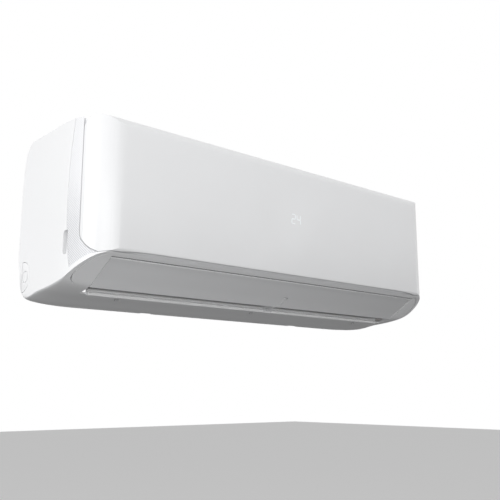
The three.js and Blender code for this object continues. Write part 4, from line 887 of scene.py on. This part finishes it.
def plastic(name, colour, roughness, peel=0.04, drift=0.02, **constants):
    tree, join = finish(name, **constants)
    spot, _ = place_of(tree)
    deeper, paler = ([c * (1 - d) for c in colour] for d in (drift, -drift))
    return join(Base_Color=blend(noise(spot, 9, 2), deeper, paler),
                Roughness=noise(spot, 60, 5) * WEAR + (roughness - WEAR / 2),
                Normal=bump(noise(spot, GRAIN_SCALE, 2), peel, GRAIN_DEPTH))


white_gloss = plastic("white_gloss_plastic", (0.86, 0.865, 0.875), 0.34, peel=0.012,
                      Coat_Weight=0.2, Coat_Roughness=0.2)
white_satin = plastic("white_satin_plastic", (0.84, 0.845, 0.855), 0.42, peel=0.03)
# painted shade: the louver's white plastic, made darker to stand for the shade it lies in
louver_grey = plastic("louver_painted_shade_plastic", (0.74, 0.745, 0.755), 0.36, peel=0.025)
dark_plastic = plastic("dark_plastic", (0.035, 0.036, 0.04), 0.55, peel=0.2, drift=0.1)
grey_plastic = plastic("grey_plastic", (0.33, 0.34, 0.36), 0.5, peel=0.2, drift=0.05)
black_rubber = plastic("black_rubber", (0.02, 0.02, 0.021), 0.8, peel=0.4, drift=0.2)
# painted shade: the screws are grey so they merge with the shaded underside round them
screw_shade_grey = plastic("screw_painted_shade_plastic", (0.4, 0.405, 0.41), 0.45)
# painted highlight: the beads' white plastic, made paler so they show brighter
riser_highlight_white = plastic("riser_painted_highlight_plastic", (0.97, 0.972, 0.975), 0.34)
print("materials so far:", len(bpy.data.materials))

# %% [markdown]
# The end strips are moulded with slanting ribs. The comb above gives the ribs their height, and
# a wave that runs across the ribs paints fine shade into the valleys between them, strongest low
# down and fading higher up. The same wave gives the strips a small bump.


# %% Ribbed strips
def ribbed(name, side):
    tree, join = finish(name)
    spot, (x, y, z) = place_of(tree)
    ahead = x * (side * FACING[1]) + y * -FACING[0]
    across = ahead * math.sin(RIB_SLOPE) + z * math.cos(RIB_SLOPE)
    # painted shade in the valleys between ribs, fading towards the top; the same mask drives the
    # bump
    valley_shade = (across.wave(RIB_PITCH * MM) * 0.5 + 0.5) * (1 - z.over(-0.02, 0.06) * 0.85)
    return join(Base_Color=blend(valley_shade, (0.84, 0.845, 0.86), (0.6, 0.61, 0.63)),
                Roughness=noise(spot, 60, 5) * WEAR + 0.4, Normal=bump(1 - valley_shade, 0.3, 0.0003))


ribbed_strips = [ribbed("ribbed_plastic_left", -1), ribbed("ribbed_plastic_right", 1)]
print("ribbed finishes:", len(ribbed_strips))

# %% [markdown]
# ## Metals
# Zinc plating has cloudy patches and rolling lines along the sheet. Copper tube is drawn, so its
# marks run along it, and it darkens in spots. On the coil, thin fins stand 1.4 mm apart along the
# unit. A wave along x gives their pale metal edges and paints shade, nearly black, into the gaps
# between them.


# %% Metals
LINE_SCALE = 420
FIN_PITCH = 0.0014


def metal(name, colour, roughness, spread=0.15, stretch=(0.1, 1, 1)):
    tree, join = finish(name, Metallic=1.0)
    spot, _ = place_of(tree)
    clouds = noise(spot, 25, 4)
    lines = noise(spot, LINE_SCALE, 3, stretch)
    dark = [c * (1 - spread) for c in colour]
    return join(Base_Color=blend(clouds, dark, colour),
                Roughness=clouds * 0.2 + (lines * 0.12 + (roughness - 0.15)),
                Normal=bump(lines, 0.15, 0.0002))


zinc_steel = metal("zinc_steel", (0.62, 0.64, 0.66), 0.38)
copper_tube = metal("copper_tube", (0.78, 0.42, 0.27), 0.3, spread=0.3)
brass_nut = metal("brass_nut", (0.76, 0.56, 0.25), 0.3, stretch=(1, 1, 1))


def fins():
    tree, join = finish("aluminium_fins", Metallic=0.85)
    spot, (x, _, _) = place_of(tree)
    # painted shade: nearly black in the gaps between the fins, metal tone on the fins
    gap = x.wave(FIN_PITCH).over(-0.35, 0.3)
    tone = noise(spot, 40, 3)
    bright = blend(tone, (0.66, 0.69, 0.72), (0.8, 0.82, 0.84))
    return join(Base_Color=blend(gap, (0.05, 0.055, 0.06), bright),
                Roughness=tone * 0.15 + 0.3, Normal=bump(gap, 0.6, 0.0004))


aluminium_fin = fins()
print("materials so far:", len(bpy.data.materials))

# %% [markdown]
# ## Board and filter
# A circuit board is dark green with paler tracks, and the edges of a Voronoi pattern look enough
# like tracks at this size. A filter is a fine woven net. Thousands of real threads would be far too
# many faces, so two waves across each other draw them, pale over the holes, which are painted dark
# as shade behind the net.

# %% Board and filter
NET_PITCH = 0.0022


def board():
    tree, join = finish("board_green", Coat_Weight=0.4)
    spot, _ = place_of(tree)
    cells = spot.node("TexVoronoi", {"feature": "DISTANCE_TO_EDGE"}, {"Vector": spot, "Scale": 220})
    track = 1 - cells.over(0.06, 0.02)
    return join(Base_Color=blend(track, (0.012, 0.075, 0.03), (0.05, 0.22, 0.1)),
                Roughness=noise(spot, 300) * 0.15 + 0.3, Normal=bump(track, 0.2, 0.0001))


def net():
    tree, join = finish("filter_net")
    spot, (x, y, z) = place_of(tree)
    upright, level = (way.wave(NET_PITCH).over(0.25, 0.25) for way in (x, y * 0.7 + z))
    threads = upright.maths("MAXIMUM", upright, level)
    # painted shade: the holes between the threads are dark
    return join(Base_Color=blend(threads, (0.02, 0.03, 0.045), (0.16, 0.24, 0.34)),
                Roughness=noise(spot, 400) * 0.2 + 0.5, Normal=bump(threads, 0.5, 0.0003))


board_green, filter_mesh = board(), net()
print("materials so far:", len(bpy.data.materials))

# %% [markdown]
# The lit digits show as a cool white. A strong emission would burn them out, so they glow only a
# little and are mostly a pale surface.


# %% Light of the digits
def glow():
    """Lit digits: a cool white that shows a little brighter than the panel round it."""
    tree, join = finish("digit_light", Emission_Strength=0.12)
    spot, _ = place_of(tree)
    colour = blend(noise(spot, 300, 2), (0.9, 0.94, 0.96), (0.94, 0.98, 1.0))
    return join(Base_Color=colour, Emission_Color=colour)


digit_light = glow()
print("lit material:", digit_light.name)

# %% [markdown]
# ## Every piece gets its finish
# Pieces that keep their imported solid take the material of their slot, so that none is left plain
# when the panel opens. The pieces made here come after them and take their own.

# %% Every piece gets its finish
by_slot = {"white_gloss": white_gloss, "white_satin": white_satin, "louver_grey": louver_grey,
           "dark_plastic": dark_plastic, "grey_plastic": grey_plastic, "black_rubber": black_rubber,
           "board_green": board_green, "zinc_steel": zinc_steel, "aluminium_fin": aluminium_fin,
           "copper_tube": copper_tube, "brass_nut": brass_nut, "filter_mesh": filter_mesh}
slot_of = {part["node"]: part["material_slot"] for part in frame["record"]["subparts"]}


def coat(obj, material):
    obj.data.materials.clear()
    obj.data.materials.append(material)


for name, obj in frame["nodes"].items():
    coat(obj, by_slot[slot_of[name]])
for piece in (panel, casing, *exits, *scoops):
    coat(piece, white_gloss)
for strip_piece, rib, material in zip(strips, ribs, ribbed_strips):
    coat(strip_piece, material)
    coat(rib, material)
# painted highlight: the beads take the paler copy of the white
for bead in beads:
    coat(bead, riser_highlight_white)
# painted shade: grey screws, to merge with the shade under the lip
for name in ("casing_screw_1", "casing_screw_2", "casing_screw_3"):
    coat(frame["nodes"][name], screw_shade_grey)
# painted shade: the louver and its cap take the darker copy of the white
coat(louver, louver_grey)
coat(cap, louver_grey)
coat(digits, digit_light)
print("finished nodes:", len(frame["nodes"]))

# %% [markdown]
# ## Studio
# The photograph looks up at the unit from its left end. A camera could be moved about until the
# picture fits, but long straight edges tell more: where they seem to meet gives its direction and
# its lens, and two corners then give its place.

# %% Camera
CAMERA_PLACE, CAMERA_AIM = (-0.9138, -1.1607, -0.3063), Vector((0.6446, 0.7385, 0.1974))
camera_data = bpy.data.cameras.new("camera")
camera_data.lens = 51.34
camera_data.sensor_width = 36
camera = bpy.data.objects.new("camera", camera_data)
scene.collection.objects.link(camera)
camera.location = CAMERA_PLACE
camera.rotation_euler = CAMERA_AIM.to_track_quat("-Z", "Y").to_euler()
scene.camera = camera
print("camera at", tuple(round(v, 3) for v in camera.location))

# %% [markdown]
# In the photograph the left side is the brightest face, and the panel darkens towards the right. So
# one large lamp stands far off on the left. A weaker one stands low in front, near the left end,
# and lights the front and the underside. Large lamps give the soft edges of a studio's shadows.


# %% Lamps
def lamp(name, stand, aim, size, power):
    data = bpy.data.lights.new(name, "AREA")
    data.size, data.energy = size, power
    made = bpy.data.objects.new(name, data)
    made.location = stand
    made.rotation_euler = (Vector(aim) - Vector(stand)).to_track_quat("-Z", "Y").to_euler()
    scene.collection.objects.link(made)


lamp("left", (-4.0, -0.3, 0.9), (-0.4, -0.1, 0), 2.0, 48)
lamp("front", (-1.2, -1.65, -0.22), (-0.2, -0.1, 0), 1.3, 10.5)
print("lamps:", [light.name for light in bpy.data.lights])

# %% [markdown]
# The room is white to look at, but light from an all-white room would wash out the underside. So
# the colour asks which ray is looking. The camera, reflections and clear things see white, and
# the light that falls on the unit comes from a room that is dimmer overhead. The floor works the
# same way: it is pale to the camera and dark to the light that bounces off it. It stays a plain
# matt surface, so that it still shows the unit's shadow.


# %% Floor and room
def by_ray(tree, *kinds):
    """1 where one of these kinds of ray asks for the colour, else 0."""
    rays = Wire(tree).node("LightPath", {}, {}).socket.node.outputs
    share = Wire(tree, rays[kinds[0]])
    for kind in kinds[1:]:
        share = share.maths("MAXIMUM", share, Wire(tree, rays[kind]))
    return share


def empty_tree(owner):
    owner.use_nodes = True
    owner.node_tree.nodes.clear()
    return owner.node_tree


FLOOR_REACH, FLOOR_DOWN = 16000, -1050
corners = [(x * FLOOR_REACH, y * FLOOR_REACH, FLOOR_DOWN)
           for x, y in ((-1, -1), (1, -1), (1, 1), (-1, 1))]
floor = new_mesh("studio_floor", corners, [(0, 1, 2, 3)])
floor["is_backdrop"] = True
floor_paint = bpy.data.materials.new("floor_paint")
tree = empty_tree(floor_paint)
tone = blend(by_ray(tree, "Is Camera Ray"), (0.29, 0.29, 0.29), (0.88, 0.88, 0.88))
paint = tone.node("BsdfDiffuse", {}, {"Color": tone})
paint.node("OutputMaterial", {}, {"Surface": paint})
coat(floor, floor_paint)

AMBIENT, OVERHEAD = 1.28, 0.3
room = bpy.data.worlds.new("room")
scene.world = room
tree = empty_tree(room)
white = by_ray(tree, "Is Camera Ray", "Is Glossy Ray", "Is Transmission Ray")
heading = white.node("SeparateXYZ", {}, {"Vector": white.node("TexCoord", {}, {})}, output=2)
unseen = (1 - heading.over(0.45, 0.4) * (1 - OVERHEAD)) * AMBIENT
strength = white + unseen * (1 - white)
sky = white.node("Background", {}, {"Color": (1, 1, 1, 1), "Strength": strength})
sky.node("OutputWorld", {}, {"Surface": sky})
scene.view_settings.view_transform = "Standard"
print("room ready")

# %% [markdown]
# ## Size of the dressed model
# The lowest and highest corners of the dressed model's box are printed, so that a piece that
# sticks out can be seen.

# %% Size of the model
low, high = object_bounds()
print("lowest and highest, dressed:", [round(v, 4) for v in (*low, *high)])
